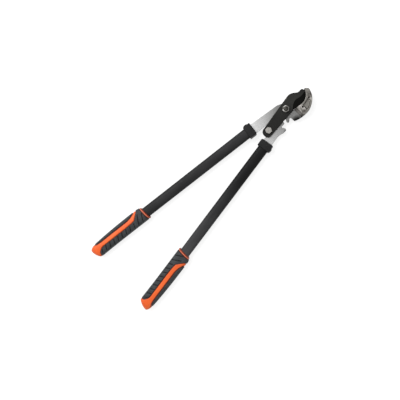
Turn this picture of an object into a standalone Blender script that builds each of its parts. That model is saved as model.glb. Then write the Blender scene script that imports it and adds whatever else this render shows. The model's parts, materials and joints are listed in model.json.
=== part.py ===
"""Geared anvil lopper, lying flat with its jaws closed.

The pivot of the blade stands on the world origin. +Y runs along the centre line
of the handles towards the jaws, +X runs across, and +Z points up from the
surface that the tool lies on. The left handle carries the anvil.
"""
import math

import bmesh
import bpy
from mathutils import Matrix, Vector

MM = 0.001

# Gear drive between the two handle plates
GEAR_MODULE = 5.25 * MM
JAW_GEAR_TEETH = 11
HANDLE_GEAR_TEETH = 15
PRESSURE_ANGLE = 25.0
TOOTH_ADDENDUM = 4.1 * MM
TOOTH_DEDENDUM = 4.5 * MM
TOOTH_THINNING = 0.36 * MM
LINK_DIRECTION = -84.1
JAW_GEAR_END = -14.0

# Layers of the head
PLATE_THICKNESS = 5.0 * MM
BLADE_THICKNESS = 4.5 * MM
RUNNING_GAP = 0.3 * MM
SEAT_GAP = 0.3 * MM
EDGE_SOFTENING = 0.3 * MM

# Handle lines
HANDLE_SPLAY = 7.87
HANDLE_START_X = 26.4 * MM
HANDLE_START_Y = -93.2 * MM

# Handle plates
PLATE_OUTER = 12.4 * MM
PLATE_INNER = 14.3 * MM
TANG_WIDTH = 22.0 * MM
TANG_LENGTH = 42.0 * MM
TANG_CORNER = 3.0 * MM
PIVOT_HUB_RADIUS = 18.0 * MM
PIVOT_HUB_START = 48.0
PIVOT_HUB_END = 160.0
LINK_HUB_RADIUS = 12.5 * MM
LINK_HUB_START = 175.0
LINK_HUB_END = 280.0
LEFT_SHOULDER_X = 23.8 * MM
LEFT_SHOULDER_Y = 7.5 * MM
LEFT_SHOULDER_RADIUS = 18.0 * MM
LEFT_INNER_BEND_X = 8.4 * MM
LEFT_INNER_BEND_Y = 62.0 * MM
LEFT_INNER_BEND_RADIUS = 40.0 * MM
LEFT_BLOCK_CORNER = 3.0 * MM
RIGHT_WAIST_X = 26.6 * MM
RIGHT_WAIST_Y = 8.8 * MM
RIGHT_WAIST_RADIUS = 30.0 * MM
RIGHT_HORN_X = 30.8 * MM
RIGHT_HORN_Y = 22.3 * MM
RIGHT_HORN_RADIUS = 6.0 * MM
RIGHT_NECK_X = 6.0 * MM
RIGHT_NECK_Y = 16.6 * MM
FILLET = 2.0 * MM

# Cutting edge of the blade and the face of the anvil
EDGE_RADIUS = 28.2 * MM
EDGE_CENTRE_X = -9.2 * MM
EDGE_CENTRE_Y = 39.0 * MM
EDGE_END_ANGLE = 64.0
HEEL_X = 14.7 * MM
HEEL_Y = 11.7 * MM

# Blade
BLADE_TIP_X = -0.3 * MM
BLADE_TIP_Y = 66.7 * MM
BLADE_TIP_RADIUS = 0.8 * MM
BLADE_HOOK_X = -8.0 * MM
BLADE_HOOK_Y = 63.3 * MM
BLADE_HOOK_RADIUS = 2.0 * MM
BLADE_NECK_X = -7.6 * MM
BLADE_NECK_Y = 49.9 * MM
BLADE_NECK_RADIUS = 4.0 * MM
BLADE_BACK_X = -22.1 * MM
BLADE_BACK_Y = 34.6 * MM
BLADE_BACK_RADIUS = 36.0 * MM
BLADE_TAIL_WIDTH = 24.8 * MM
BLADE_TAIL_OFFSET = 1.8 * MM
BLADE_TAIL_DROP = 16.8 * MM
BEVEL_WIDTH = 17.5 * MM
CUTTING_LAND = 0.5 * MM

# Anvil casting
ANVIL_WIDTH = 24.0 * MM
ANVIL_TAPER = 0.245 * MM
ANVIL_SWELL = 0.00075 * MM
ANVIL_FOOT_TAPER = 0.13 * MM
ANVIL_FOOT_SWELL = 0.0028 * MM
ANVIL_THICKNESS = 15.5 * MM
ANVIL_START_Y = 14.0 * MM
ANVIL_TIP_ANGLE = 68.0
ANVIL_NOSE_WIDTH = 1.2 * MM
ANVIL_NOSE_RISE = 0.3 * MM
ANVIL_NOSE_RADIUS = 3.0 * MM
ANVIL_LIP_LENGTH = 4.2 * MM
ANVIL_LIP_RISE = 0.9 * MM
ANVIL_LIP_RADIUS = 1.2 * MM
ANVIL_EDGES = 0.9 * MM
ANVIL_CORNER_Y = 5.6 * MM
ANVIL_RAMP_LENGTH = 6.5 * MM
ANVIL_RAMP_FOOT = 1.5 * MM
ANVIL_RIM = 4.0 * MM
ANVIL_POCKET_DEPTH = 4.0 * MM
ANVIL_POCKET_START = -21.0
ANVIL_POCKET_END = 58.0
JAW_INSET = 4.5 * MM
JAW_END_ANGLE = 48.0
SCREW_RING = 8.3 * MM
SCREW_ANGLES = (-10.9, 33.7)
SCREW_RADIUS = 1.75 * MM
SCREW_HEAD_RADIUS = 3.2 * MM
SCREW_POINT = 0.5 * MM
RIB_HALF_WIDTH = 3.0 * MM

# Fasteners of the two pivots
BOLT_RADIUS = 5.0 * MM
BOLT_PROUD = 2.0 * MM
BOLT_CHAMFER = 0.8 * MM
BUSHING_WALL = 1.2 * MM
WASHER_RADIUS = 10.0 * MM
WASHER_THICKNESS = 1.8 * MM
PIVOT_NUT_ACROSS = 16.0 * MM
PIVOT_NUT_HEIGHT = 7.5 * MM
PIVOT_NUT_TURN = 12.0
LINK_HEAD_ACROSS = 15.0 * MM
LINK_HEAD_HEIGHT = 6.4 * MM
LINK_BOLT_END = 1.0 * MM
FLANGE_HEIGHT = 2.0 * MM
LOCK_RING_HEIGHT = 2.4 * MM
LOCK_RING_STEP = 0.9 * MM
HEX_CHAMFER_SLOPE = 0.58

# Handle tubes and what is in them
TUBE_WIDTH = 28.0 * MM
TUBE_DEPTH = 20.0 * MM
TUBE_WALL = 1.6 * MM
TUBE_SQUARENESS = 2.6
RIVET_RADIUS = 2.5 * MM
RIVET_RECESS = 0.2 * MM
RIVET_PLACES = (5.5 * MM, 13.5 * MM)

# Collars
COLLAR_WALL = 3.0 * MM
COLLAR_LENGTH = 20.3 * MM
COLLAR_CAP = 2.2 * MM
COLLAR_LUG = 1.9 * MM
COLLAR_LUG_START = 4.8 * MM
COLLAR_LUG_END = 13.3 * MM
COLLAR_INNER_CORNER = 4.5 * MM
COLLAR_OUTER_CORNER = 1.5 * MM
COLLAR_EDGES = 3.5 * MM

# Grips
GRIP_START = 355.3 * MM
GRIP_LENGTH = 187.0 * MM
GRIP_THICKNESS = 28.0 * MM
GRIP_INNER = 19.3 * MM
GRIP_INNER_FLARE = 1.7 * MM
GRIP_OUTER = 21.8 * MM
GRIP_OUTER_TAPER = 5.0 * MM
GRIP_SHOULDER = 6.0 * MM
GRIP_SHOULDER_RUN = 5.0 * MM
GRIP_SQUARENESS = 2.4
RING_LENGTH = 6.0 * MM
RING_EDGE = 1.2 * MM
RING_EDGE_SHARE = 0.94
RING_LEAN = 8.0
RING_LEAN_RUN = 20.0 * MM
END_CAP_LENGTH = 16.0 * MM
END_CAP_INSET = 0.9 * MM
END_CAP_SKEW = 7.5 * MM
RUBBER_DEPTH = 2.2 * MM
RUBBER_STEP = 0.3 * MM
TUBE_IN_GRIP = 150.0 * MM
STRIP_INNER = 3.6 * MM
STRIP_OUTER = 10.5 * MM
BRANCH_START = 19.0 * MM
BRANCH_END = 37.5 * MM
BRANCH_WIDTH = 9.0 * MM
STRIP_FLARE = 22.0 * MM
STRIP_EASE = 2.7 * MM
GROOVE_COUNT = 10
GROOVE_SPACING = 14.0 * MM
GROOVE_START = 26.0 * MM
GROOVE_WIDTH = 2.4 * MM
GROOVE_DEPTH = 1.0 * MM
GROOVE_RISE = 11.0 * MM
GROOVE_MARGIN = 3.2 * MM

# Facets
ARC_STEP = 12.0
ROUND_SIDES = 20
HOLE_SIDES = 16
TUBE_SIDES = 24
GRIP_SIDES = 16
FLAT_ANGLE = math.radians(0.1)
OVERCUT = 2.0 * MM
AXIS_SIZE = 20.0 * MM

MID_HEIGHT = GRIP_THICKNESS / 2
PLATE_BOTTOM = MID_HEIGHT - PLATE_THICKNESS / 2
PLATE_TOP = MID_HEIGHT + PLATE_THICKNESS / 2
BLADE_BOTTOM = PLATE_TOP + RUNNING_GAP
BLADE_TOP = BLADE_BOTTOM + BLADE_THICKNESS
CENTRE_DISTANCE = GEAR_MODULE * (JAW_GEAR_TEETH + HANDLE_GEAR_TEETH) / 2
LINK_X = CENTRE_DISTANCE * math.cos(math.radians(LINK_DIRECTION))
LINK_Y = CENTRE_DISTANCE * math.sin(math.radians(LINK_DIRECTION))
BORE_RADIUS = BOLT_RADIUS + SEAT_GAP + BUSHING_WALL + RUNNING_GAP
HALF_TUBE_WIDTH = TUBE_WIDTH / 2
HALF_TUBE_DEPTH = TUBE_DEPTH / 2
RUBBER_START = RING_LENGTH + SEAT_GAP
RUBBER_END = GRIP_LENGTH - END_CAP_LENGTH

STEEL = (0.62, 0.62, 0.62, 1.0)
CAST_GREY = (0.36, 0.35, 0.33, 1.0)
ZINC = (0.70, 0.69, 0.66, 1.0)
COATED_BLACK = (0.025, 0.025, 0.023, 1.0)
TUBE_BLACK = (0.028, 0.028, 0.030, 1.0)
MOULDED_BLACK = (0.022, 0.022, 0.024, 1.0)
RUBBER_BLACK = (0.035, 0.037, 0.040, 1.0)
ORANGE = (0.86, 0.15, 0.04, 1.0)
FILLER_GREY = (0.20, 0.20, 0.20, 1.0)


def clear_scene():
    """Remove whatever the open file holds."""
    for item in list(bpy.data.objects):
        bpy.data.objects.remove(item, do_unlink=True)


def new_collection(name):
    """Link a new collection to the scene."""
    collection = bpy.data.collections.new(name)
    bpy.context.scene.collection.children.link(collection)
    return collection


def material(name, colour, roughness, metallic):
    """Make a plain Principled material."""
    made = bpy.data.materials.new(name)
    made.use_nodes = True
    shader = made.node_tree.nodes["Principled BSDF"]
    shader.inputs["Base Color"].default_value = colour
    shader.inputs["Roughness"].default_value = roughness
    shader.inputs["Metallic"].default_value = metallic
    return made


def empty(name, x, y, z, turn, parent):
    """Make an empty that its pieces hang on."""
    made = bpy.data.objects.new(name, None)
    made.empty_display_size = AXIS_SIZE
    made.location = (x, y, z)
    made.rotation_euler = (0, 0, math.radians(turn))
    made.parent = parent
    PARTS.objects.link(made)
    return made


def finish(piece, look, parent, offset=(0, 0, 0)):
    """Give a piece its material, parent and smooth shading, and hang its cutters on it."""
    piece.data.materials.clear()
    piece.data.materials.append(look)
    piece.parent = parent
    piece.location = offset
    for modifier in piece.modifiers:
        if modifier.type == "BOOLEAN":
            modifier.object.parent = piece
    piece.data.shade_smooth()
    piece.data.set_sharp_from_angle(angle=math.radians(32))
    normals = piece.modifiers.new("flat faces first", "WEIGHTED_NORMAL")
    normals.keep_sharp = True
    return piece


def add_object(name, mesh, collection=None):
    """Link an object for a mesh."""
    made = bpy.data.objects.new(name, mesh)
    (collection or PARTS).objects.link(made)
    return made


def as_cutter(piece):
    """Move a piece to the cutters, which the model leaves out."""
    PARTS.objects.unlink(piece)
    CUTTERS.objects.link(piece)
    piece.hide_render = True
    piece.display_type = "WIRE"
    return piece


def combine(piece, other, operation):
    """Cut, join or intersect a piece with another one."""
    modifier = piece.modifiers.new(operation.lower(), "BOOLEAN")
    modifier.operation = operation
    modifier.solver = "EXACT"
    modifier.object = other


def soften(piece, width, segments=1, angle=50.0):
    """Round the sharp edges of a piece."""
    modifier = piece.modifiers.new("soft edges", "BEVEL")
    modifier.width = width
    modifier.segments = segments
    modifier.limit_method = "ANGLE"
    modifier.angle_limit = math.radians(angle)


def arc(x, y, radius, start, end):
    """Points of an arc from one angle to another, both included."""
    steps = max(1, math.ceil(abs(end - start) / ARC_STEP))
    points = []
    for step in range(steps + 1):
        angle = math.radians(start + (end - start) * step / steps)
        points.append((x + radius * math.cos(angle), y + radius * math.sin(angle)))
    return points


def rounded(corners):
    """Outline whose corners (x, y, radius) are filleted; a plain (x, y) stays as it is."""
    points = []
    count = len(corners)
    for index, corner in enumerate(corners):
        here = Vector(corner[:2])
        radius = corner[2] if len(corner) > 2 else 0.0
        if radius == 0.0:
            points.append(tuple(here))
            continue
        before = Vector(corners[index - 1][:2]) - here
        after = Vector(corners[(index + 1) % count][:2]) - here
        half = before.angle(after) / 2
        reach = min(radius / math.tan(half), 0.48 * before.length, 0.48 * after.length)
        radius = reach * math.tan(half)
        middle = (before.normalized() + after.normalized()).normalized()
        centre = here + middle * radius / math.sin(half)
        first = here + before.normalized() * reach - centre
        turn = math.degrees(math.pi - 2 * half)
        sign = 1 if before.cross(after) < 0 else -1
        steps = max(1, math.ceil(turn / ARC_STEP))
        for step in range(steps + 1):
            spin = Matrix.Rotation(math.radians(sign * turn * step / steps), 2)
            points.append(tuple(centre + spin @ first))
    return points


def tube_oval(inset):
    """Soft-cornered oval of the handle tube, wide along its first axis, set in from it."""
    half_width = HALF_TUBE_WIDTH - inset
    half_depth = HALF_TUBE_DEPTH - inset
    points = []
    power = 2 / TUBE_SQUARENESS
    for index in range(TUBE_SIDES):
        angle = 2 * math.pi * index / TUBE_SIDES
        across = math.cos(angle)
        up = math.sin(angle)
        points.append((half_width * math.copysign(abs(across) ** power, across),
                       half_depth * math.copysign(abs(up) ** power, up)))
    return points


def circle(x, y, radius, sides=ROUND_SIDES):
    """Regular round loop."""
    return [(x + radius * math.cos(2 * math.pi * i / sides),
             y + radius * math.sin(2 * math.pi * i / sides)) for i in range(sides)]


def prism(name, loops, low, high, along_handle=False):
    """Flat outline with its holes, extruded from low to high.

    The extrusion runs up Z, or along the handle (local -Y) with the outline's
    second axis pointing up.
    """
    curve = bpy.data.curves.new(name + " outline", "CURVE")
    curve.dimensions = "2D"
    curve.fill_mode = "BOTH"
    curve.extrude = (high - low) / 2
    for loop in loops:
        spline = curve.splines.new("POLY")
        spline.points.add(len(loop) - 1)
        for point, (x, y) in zip(spline.points, loop):
            point.co = (x, y, 0, 1)
        spline.use_cyclic_u = True
    drawn = bpy.data.objects.new(name + " outline", curve)
    PARTS.objects.link(drawn)
    bpy.context.view_layer.update()
    graph = bpy.context.evaluated_depsgraph_get()
    mesh = bpy.data.meshes.new_from_object(drawn.evaluated_get(graph))
    bpy.data.objects.remove(drawn, do_unlink=True)
    mesh.transform(Matrix.Translation((0, 0, (low + high) / 2)))
    if along_handle:
        mesh.transform(Matrix.Rotation(math.radians(90), 4, "X"))
    shape = bmesh.new()
    shape.from_mesh(mesh)
    bmesh.ops.remove_doubles(shape, verts=shape.verts, dist=0.001 * MM)
    bmesh.ops.dissolve_limit(shape, angle_limit=FLAT_ANGLE, verts=shape.verts, edges=shape.edges)
    bmesh.ops.recalc_face_normals(shape, faces=shape.faces)
    shape.to_mesh(mesh)
    shape.free()
    mesh.name = name
    return add_object(name, mesh)


def loft(name, rings):
    """Closed skin through rings of equally many points."""
    shape = bmesh.new()
    rows = [[shape.verts.new(point) for point in ring] for ring in rings]
    for low, high in zip(rows, rows[1:]):
        for index in range(len(low)):
            shape.faces.new((low[index - 1], low[index], high[index], high[index - 1]))
    shape.faces.new(rows[0])
    shape.faces.new(rows[-1])
    bmesh.ops.recalc_face_normals(shape, faces=shape.faces)
    mesh = bpy.data.meshes.new(name)
    shape.to_mesh(mesh)
    shape.free()
    return add_object(name, mesh)


def turned(name, profile, x, y, sides=ROUND_SIDES):
    """Solid of revolution about a vertical axis at x, y.

    The profile runs from the top of the axis down the outer side to its bottom.
    """
    mesh = bpy.data.meshes.new(name)
    points = [(radius, 0, height) for radius, height in profile]
    edges = [(index, index + 1) for index in range(len(points) - 1)]
    mesh.from_pydata(points, edges, [])
    made = add_object(name, mesh)
    made.location = (x, y, 0)
    screw = made.modifiers.new("turned", "SCREW")
    screw.steps = sides
    screw.render_steps = sides
    screw.use_merge_vertices = True
    screw.merge_threshold = 0.001 * MM
    return made


def ring_profile(inner, outer, low, high):
    """Closed profile of a flat ring, down its outer side first."""
    return [(inner, high), (outer, high), (outer, low), (inner, low), (inner, high)]


def on_handle(side, across, along):
    """Point of a handle's plan in the world: outward from its axis, and along it."""
    turn = math.radians(side * HANDLE_SPLAY)
    x = side * across
    y = -along
    return (side * HANDLE_START_X + x * math.cos(turn) - y * math.sin(turn),
            HANDLE_START_Y + x * math.sin(turn) + y * math.cos(turn))


def involute(radius, base):
    """Involute function at a radius, zero inside the base circle."""
    if radius <= base:
        return 0.0
    angle = math.acos(base / radius)
    return math.tan(angle) - angle


def tooth(x, y, teeth, centre_angle):
    """Points of one gear tooth, counter-clockwise from root to root."""
    pitch = GEAR_MODULE * teeth / 2
    base = pitch * math.cos(math.radians(PRESSURE_ANGLE))
    root = pitch - TOOTH_DEDENDUM
    tip = pitch + TOOTH_ADDENDUM
    half_pitch = (math.pi * GEAR_MODULE / 2 - TOOTH_THINNING) / (2 * pitch)
    at_base = half_pitch + involute(pitch, base)
    flank = []
    steps = 5
    for step in range(steps + 1):
        radius = max(root, base) + (tip - max(root, base)) * step / steps
        flank.append((radius, at_base - involute(radius, base)))
    if root < base:
        flank.insert(0, (root, at_base))
    middle = math.radians(centre_angle)
    rising = [(radius, middle - half) for radius, half in flank]
    falling = [(radius, middle + half) for radius, half in reversed(flank)]
    return [(x + radius * math.cos(angle), y + radius * math.sin(angle))
            for radius, angle in rising + falling]


def gear_edge(x, y, teeth, centre_angles, start, end):
    """Toothed edge of a plate, counter-clockwise between two angles of its root circle."""
    root = GEAR_MODULE * teeth / 2 - TOOTH_DEDENDUM
    points = []
    angle = start
    for centre_angle in centre_angles:
        shape = tooth(x, y, teeth, centre_angle)
        first = math.degrees(math.atan2(shape[0][1] - y, shape[0][0] - x))
        last = math.degrees(math.atan2(shape[-1][1] - y, shape[-1][0] - x))
        points += arc(x, y, root, angle, first)[:-1]
        points += shape
        angle = last
    points += arc(x, y, root, angle, end)[1:]
    return points


def edge_heel_tangent():
    """Where the straight heel of the cutting edge runs into its arc."""
    span = Vector((EDGE_CENTRE_X - HEEL_X, EDGE_CENTRE_Y - HEEL_Y))
    lean = math.asin(EDGE_RADIUS / span.length)
    direction = math.atan2(span.y, span.x) - lean
    reach = math.sqrt(span.length ** 2 - EDGE_RADIUS ** 2)
    return (direction, reach)


def face_arc(offset, start, end):
    """Arc that stands off the cutting edge by an offset."""
    return arc(EDGE_CENTRE_X, EDGE_CENTRE_Y, EDGE_RADIUS + offset, start, end)


def face_heel(offset, height):
    """Point of the heel line, set off from it, at a height."""
    direction, _ = edge_heel_tangent()
    x = HEEL_X + offset * math.sin(direction)
    y = HEEL_Y - offset * math.cos(direction)
    return (x + (height - y) / math.tan(direction), height)


def heel_arc_angle():
    """Angle of the arc of the edge where the heel line touches it."""
    direction, _ = edge_heel_tangent()
    return math.degrees(direction) - 90


def anvil_back(angle, inset):
    """Point of the anvil's outer curve, set in from it."""
    taper, swell = ANVIL_TAPER, ANVIL_SWELL
    if angle < 0:
        taper, swell = ANVIL_FOOT_TAPER, ANVIL_FOOT_SWELL
    width = ANVIL_WIDTH - taper * angle + swell * angle ** 2
    radius = EDGE_RADIUS + width - inset
    turn = math.radians(angle)
    return (EDGE_CENTRE_X + radius * math.cos(turn), EDGE_CENTRE_Y + radius * math.sin(turn))


def anvil_back_angle(height, inset):
    """Angle of the outer curve's point at a height."""
    low, high = -70.0, 40.0
    for _ in range(50):
        middle = (low + high) / 2
        if anvil_back(middle, inset)[1] < height:
            low = middle
        else:
            high = middle
    return low


def back_curve(start, end, inset, steps):
    """Points of the outer curve between two angles."""
    return [anvil_back(start + (end - start) * i / steps, inset) for i in range(steps + 1)]


def screw_places():
    """The two screws, on one ring about the centre of the cutting edge's arc."""
    places = []
    for angle in SCREW_ANGLES:
        places += face_arc(SCREW_RING, angle, angle)[:1]
    return places


def jaw_outline(grow):
    """Tongue of the left plate in the back of the anvil, counter-clockwise from its foot."""
    inset = JAW_INSET - grow
    foot = anvil_back_angle(ANVIL_START_Y, inset)
    outer = back_curve(foot, JAW_END_ANGLE, inset, 8)
    inner = face_arc(inset + SEAT_GAP, JAW_END_ANGLE, heel_arc_angle())
    return outer + inner


def left_plate_outline():
    """Left handle plate: tang, gear sector, jaw tongue and pivot hub."""
    half_tang = TANG_WIDTH / 2
    shoulder = -SEAT_GAP
    tooth_pitch = 360 / JAW_GEAR_TEETH
    gaps_from_link = (-0.5, 0.5, 1.5)
    teeth = [LINK_DIRECTION + tooth_pitch * gap for gap in gaps_from_link]
    corner = anvil_back(anvil_back_angle(-ANVIL_CORNER_Y, 0), 0)
    root = GEAR_MODULE * JAW_GEAR_TEETH / 2 - TOOTH_DEDENDUM
    side_start = anvil_back_angle(2 * LEFT_BLOCK_CORNER - ANVIL_CORNER_Y, 0)
    side_end = anvil_back_angle(ANVIL_START_Y - SEAT_GAP, 0)
    foot_y = ANVIL_START_Y - SEAT_GAP
    corners = [
        on_handle(-1, PLATE_OUTER, shoulder),
        on_handle(-1, half_tang, shoulder),
        on_handle(-1, half_tang, TANG_LENGTH) + (TANG_CORNER,),
        on_handle(-1, -half_tang, TANG_LENGTH) + (TANG_CORNER,),
        on_handle(-1, -half_tang, shoulder),
        on_handle(-1, -PLATE_INNER, shoulder),
        (-LEFT_INNER_BEND_X, -LEFT_INNER_BEND_Y, LEFT_INNER_BEND_RADIUS),
    ]
    corners += gear_edge(0, 0, JAW_GEAR_TEETH, teeth, teeth[0] - tooth_pitch / 2, JAW_GEAR_END)
    corners += [(root + FILLET, -ANVIL_CORNER_Y, FILLET),
                (corner[0], -ANVIL_CORNER_Y, LEFT_BLOCK_CORNER)]
    corners += back_curve(side_start, side_end, 0, 3)
    corners += [(anvil_back(side_end, JAW_INSET)[0], foot_y)]
    corners += jaw_outline(0)
    corners += [face_heel(JAW_INSET + SEAT_GAP, foot_y), (HEEL_X, foot_y, FILLET)]
    corners += arc(0, 0, PIVOT_HUB_RADIUS, PIVOT_HUB_START, PIVOT_HUB_END)
    corners += [(-LEFT_SHOULDER_X, -LEFT_SHOULDER_Y, LEFT_SHOULDER_RADIUS)]
    return rounded(corners)


def right_plate_outline():
    """Right handle plate: tang, gear sector and link hub."""
    half_tang = TANG_WIDTH / 2
    shoulder = -SEAT_GAP
    tooth_pitch = 360 / HANDLE_GEAR_TEETH
    mesh_line = LINK_DIRECTION + 180
    teeth = [mesh_line - 2 * tooth_pitch, mesh_line - tooth_pitch, mesh_line]
    edge = gear_edge(LINK_X, LINK_Y, HANDLE_GEAR_TEETH, teeth, teeth[0] - tooth_pitch / 2,
                     mesh_line + tooth_pitch / 2)
    half_tooth = len(tooth(0, 0, HANDLE_GEAR_TEETH, 0)) // 2
    first_tip = edge.index(tooth(LINK_X, LINK_Y, HANDLE_GEAR_TEETH, teeth[0])[half_tooth - 1])
    corners = [
        on_handle(1, -PLATE_INNER, shoulder),
        on_handle(1, -half_tang, shoulder),
        on_handle(1, -half_tang, TANG_LENGTH) + (TANG_CORNER,),
        on_handle(1, half_tang, TANG_LENGTH) + (TANG_CORNER,),
        on_handle(1, half_tang, shoulder),
        on_handle(1, PLATE_OUTER, shoulder),
        (LINK_X + RIGHT_WAIST_X, LINK_Y + RIGHT_WAIST_Y, RIGHT_WAIST_RADIUS),
        (LINK_X + RIGHT_HORN_X, LINK_Y + RIGHT_HORN_Y, RIGHT_HORN_RADIUS),
    ]
    corners += edge[first_tip:]
    corners += arc(LINK_X, LINK_Y, LINK_HUB_RADIUS, LINK_HUB_START, LINK_HUB_END)
    corners += [(LINK_X + RIGHT_NECK_X, LINK_Y - RIGHT_NECK_Y, 2 * FILLET)]
    return rounded(corners)


def make_left_plate():
    """Plate that joins the left handle, the anvil and the pivot."""
    screws = [circle(x, y, SCREW_RADIUS + SEAT_GAP, HOLE_SIDES) for x, y in screw_places()]
    bore = circle(0, 0, BORE_RADIUS)
    plate = prism("left_handle_plate", [left_plate_outline(), bore] + screws,
                  PLATE_BOTTOM, PLATE_TOP)
    soften(plate, EDGE_SOFTENING)
    for index, (x, y) in enumerate(screw_places()):
        sink = turned(f"countersink {index}", countersink_profile(SEAT_GAP), x, y, HOLE_SIDES)
        combine(plate, as_cutter(sink), "DIFFERENCE")
    drill_tang(plate, -1)
    return plate


def make_right_plate():
    """Plate that joins the right handle and the link pivot."""
    plate = prism("right_handle_plate",
                  [right_plate_outline(), circle(LINK_X, LINK_Y, BORE_RADIUS)],
                  PLATE_BOTTOM, PLATE_TOP)
    soften(plate, EDGE_SOFTENING)
    drill_tang(plate, 1)
    return plate


def drill_tang(plate, side):
    """Cut the two rivet holes through the tang of a plate."""
    for index, along in enumerate(RIVET_PLACES):
        x, y = on_handle(side, 0, along)
        hole = prism(f"{plate.name} rivet hole {index}",
                     [circle(x, y, RIVET_RADIUS + SEAT_GAP, HOLE_SIDES)],
                     PLATE_BOTTOM - OVERCUT, PLATE_TOP + OVERCUT)
        combine(plate, as_cutter(hole), "DIFFERENCE")


def blade_edge_points():
    """Cutting edge from heel to tip, as points with their outward directions."""
    direction, reach = edge_heel_tangent()
    steps = 5
    edge = []
    for step in range(steps):
        x = HEEL_X + reach * step / steps * math.cos(direction)
        y = HEEL_Y + reach * step / steps * math.sin(direction)
        edge.append(((x, y), direction - math.pi / 2))
    for point in face_arc(0, heel_arc_angle(), EDGE_END_ANGLE):
        outward = math.atan2(point[1] - EDGE_CENTRE_Y, point[0] - EDGE_CENTRE_X)
        edge.append((point, outward))
    return edge


def bevel_line():
    """Line on the blade's face where the ground bevel starts."""
    edge = blade_edge_points()
    line = []
    last = len(edge) - 1
    for index, ((x, y), outward) in enumerate(edge):
        width = BEVEL_WIDTH * math.sin(math.pi * (index + 0.15) / (last + 0.3)) ** 0.7
        line.append((x - width * math.cos(outward), y - width * math.sin(outward)))
    return line


def blade_body_corners():
    """The blade's outline without its cutting edge, from tip to heel."""
    tail_x = LINK_X + BLADE_TAIL_OFFSET
    tail_y = LINK_Y - BLADE_TAIL_DROP
    half_tail = BLADE_TAIL_WIDTH / 2
    end_radius = half_tail - EDGE_SOFTENING
    return [
        (BLADE_TIP_X, BLADE_TIP_Y, BLADE_TIP_RADIUS),
        (BLADE_HOOK_X, BLADE_HOOK_Y, BLADE_HOOK_RADIUS),
        (BLADE_NECK_X, BLADE_NECK_Y, BLADE_NECK_RADIUS),
        (BLADE_BACK_X, BLADE_BACK_Y, BLADE_BACK_RADIUS),
        (tail_x - half_tail, tail_y, end_radius),
        (tail_x + half_tail, tail_y, end_radius),
    ]


def make_blade():
    """Blade ground on both faces, in one piece with the arm that holds the link pivot."""
    edge = [point for point, _ in blade_edge_points()]
    body = blade_body_corners()
    anchors = [edge[-1]] + body + [edge[0]]
    outline = rounded(anchors)[1:-1] + edge
    face = outline[:-len(edge)] + bevel_line()
    middle = (BLADE_BOTTOM + BLADE_TOP) / 2
    heights = ((BLADE_BOTTOM, face), (middle - CUTTING_LAND / 2, outline),
               (middle + CUTTING_LAND / 2, outline), (BLADE_TOP, face))
    blade = loft("blade", [[(x, y, z) for x, y in ring] for z, ring in heights])
    for name, x, y in (("pivot bore", 0, 0), ("link bore", LINK_X, LINK_Y)):
        bore = prism(name, [circle(x, y, BORE_RADIUS)], BLADE_BOTTOM - OVERCUT, BLADE_TOP + OVERCUT)
        combine(blade, as_cutter(bore), "DIFFERENCE")
    return blade


def anvil_outline():
    """Casting seen from above, counter-clockwise from its outer foot."""
    foot = anvil_back_angle(ANVIL_START_Y, 0)
    tip = anvil_back(ANVIL_TIP_ANGLE, 0)
    corners = back_curve(foot, ANVIL_TIP_ANGLE - 4, 0, 16)
    corners += [
        (tip[0] - ANVIL_NOSE_WIDTH, tip[1] + ANVIL_NOSE_RISE, ANVIL_NOSE_RADIUS),
        (BLADE_TIP_X - ANVIL_LIP_LENGTH, BLADE_TIP_Y + ANVIL_LIP_RISE, ANVIL_LIP_RADIUS),
        (BLADE_TIP_X + SEAT_GAP, BLADE_TIP_Y + SEAT_GAP),
    ]
    corners += face_arc(SEAT_GAP, EDGE_END_ANGLE, heel_arc_angle())
    corners += [face_heel(SEAT_GAP, ANVIL_START_Y)]
    return rounded(corners)


def pocket_outline(start, end):
    """Pocket between the rims of the anvil, from one angle to another."""
    inner = face_arc(SEAT_GAP + ANVIL_RIM, end, start)
    outer = back_curve(start, end, ANVIL_RIM, 4)
    corners = []
    for side in (outer, inner):
        corners += [side[0] + (FILLET,)] + side[1:-1] + [side[-1] + (FILLET,)]
    return rounded(corners)


def rib_half_angle():
    """Half the angle that a rib takes on the ring of the screws."""
    return math.degrees(RIB_HALF_WIDTH / (EDGE_RADIUS + SCREW_RING))


def make_anvil():
    """Cast anvil with rims, pockets, screw ribs, a ramp at its foot and a recess behind."""
    low = PLATE_BOTTOM
    high = PLATE_BOTTOM + ANVIL_THICKNESS
    anvil = prism("anvil", [anvil_outline()], low, high)
    soften(anvil, ANVIL_EDGES, 2)
    foot_y = ANVIL_START_Y - OVERCUT
    recess = [face_heel(JAW_INSET, foot_y), (anvil_back(anvil_back_angle(
        ANVIL_START_Y, JAW_INSET - SEAT_GAP), JAW_INSET - SEAT_GAP)[0], foot_y)]
    recess += jaw_outline(SEAT_GAP)
    slot = prism("jaw recess", [recess], low - OVERCUT, PLATE_TOP + SEAT_GAP)
    combine(anvil, as_cutter(slot), "DIFFERENCE")
    rib = rib_half_angle()
    first, second = SCREW_ANGLES
    stretches = ((ANVIL_POCKET_START, first - rib), (first + rib, second - rib),
                 (second + rib, ANVIL_POCKET_END))
    floor = high - ANVIL_POCKET_DEPTH
    for index, (start, end) in enumerate(stretches):
        pocket = prism(f"anvil pocket {index}", [pocket_outline(start, end)],
                       floor, high + OVERCUT)
        combine(anvil, as_cutter(pocket), "DIFFERENCE")
    for index, (x, y) in enumerate(screw_places()):
        hole = prism(f"screw hole {index}", [circle(x, y, SCREW_RADIUS + SEAT_GAP, HOLE_SIDES)],
                     low, high + OVERCUT)
        combine(anvil, as_cutter(hole), "DIFFERENCE")
    combine(anvil, as_cutter(make_ramp_cutter(high)), "DIFFERENCE")
    return anvil


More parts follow.
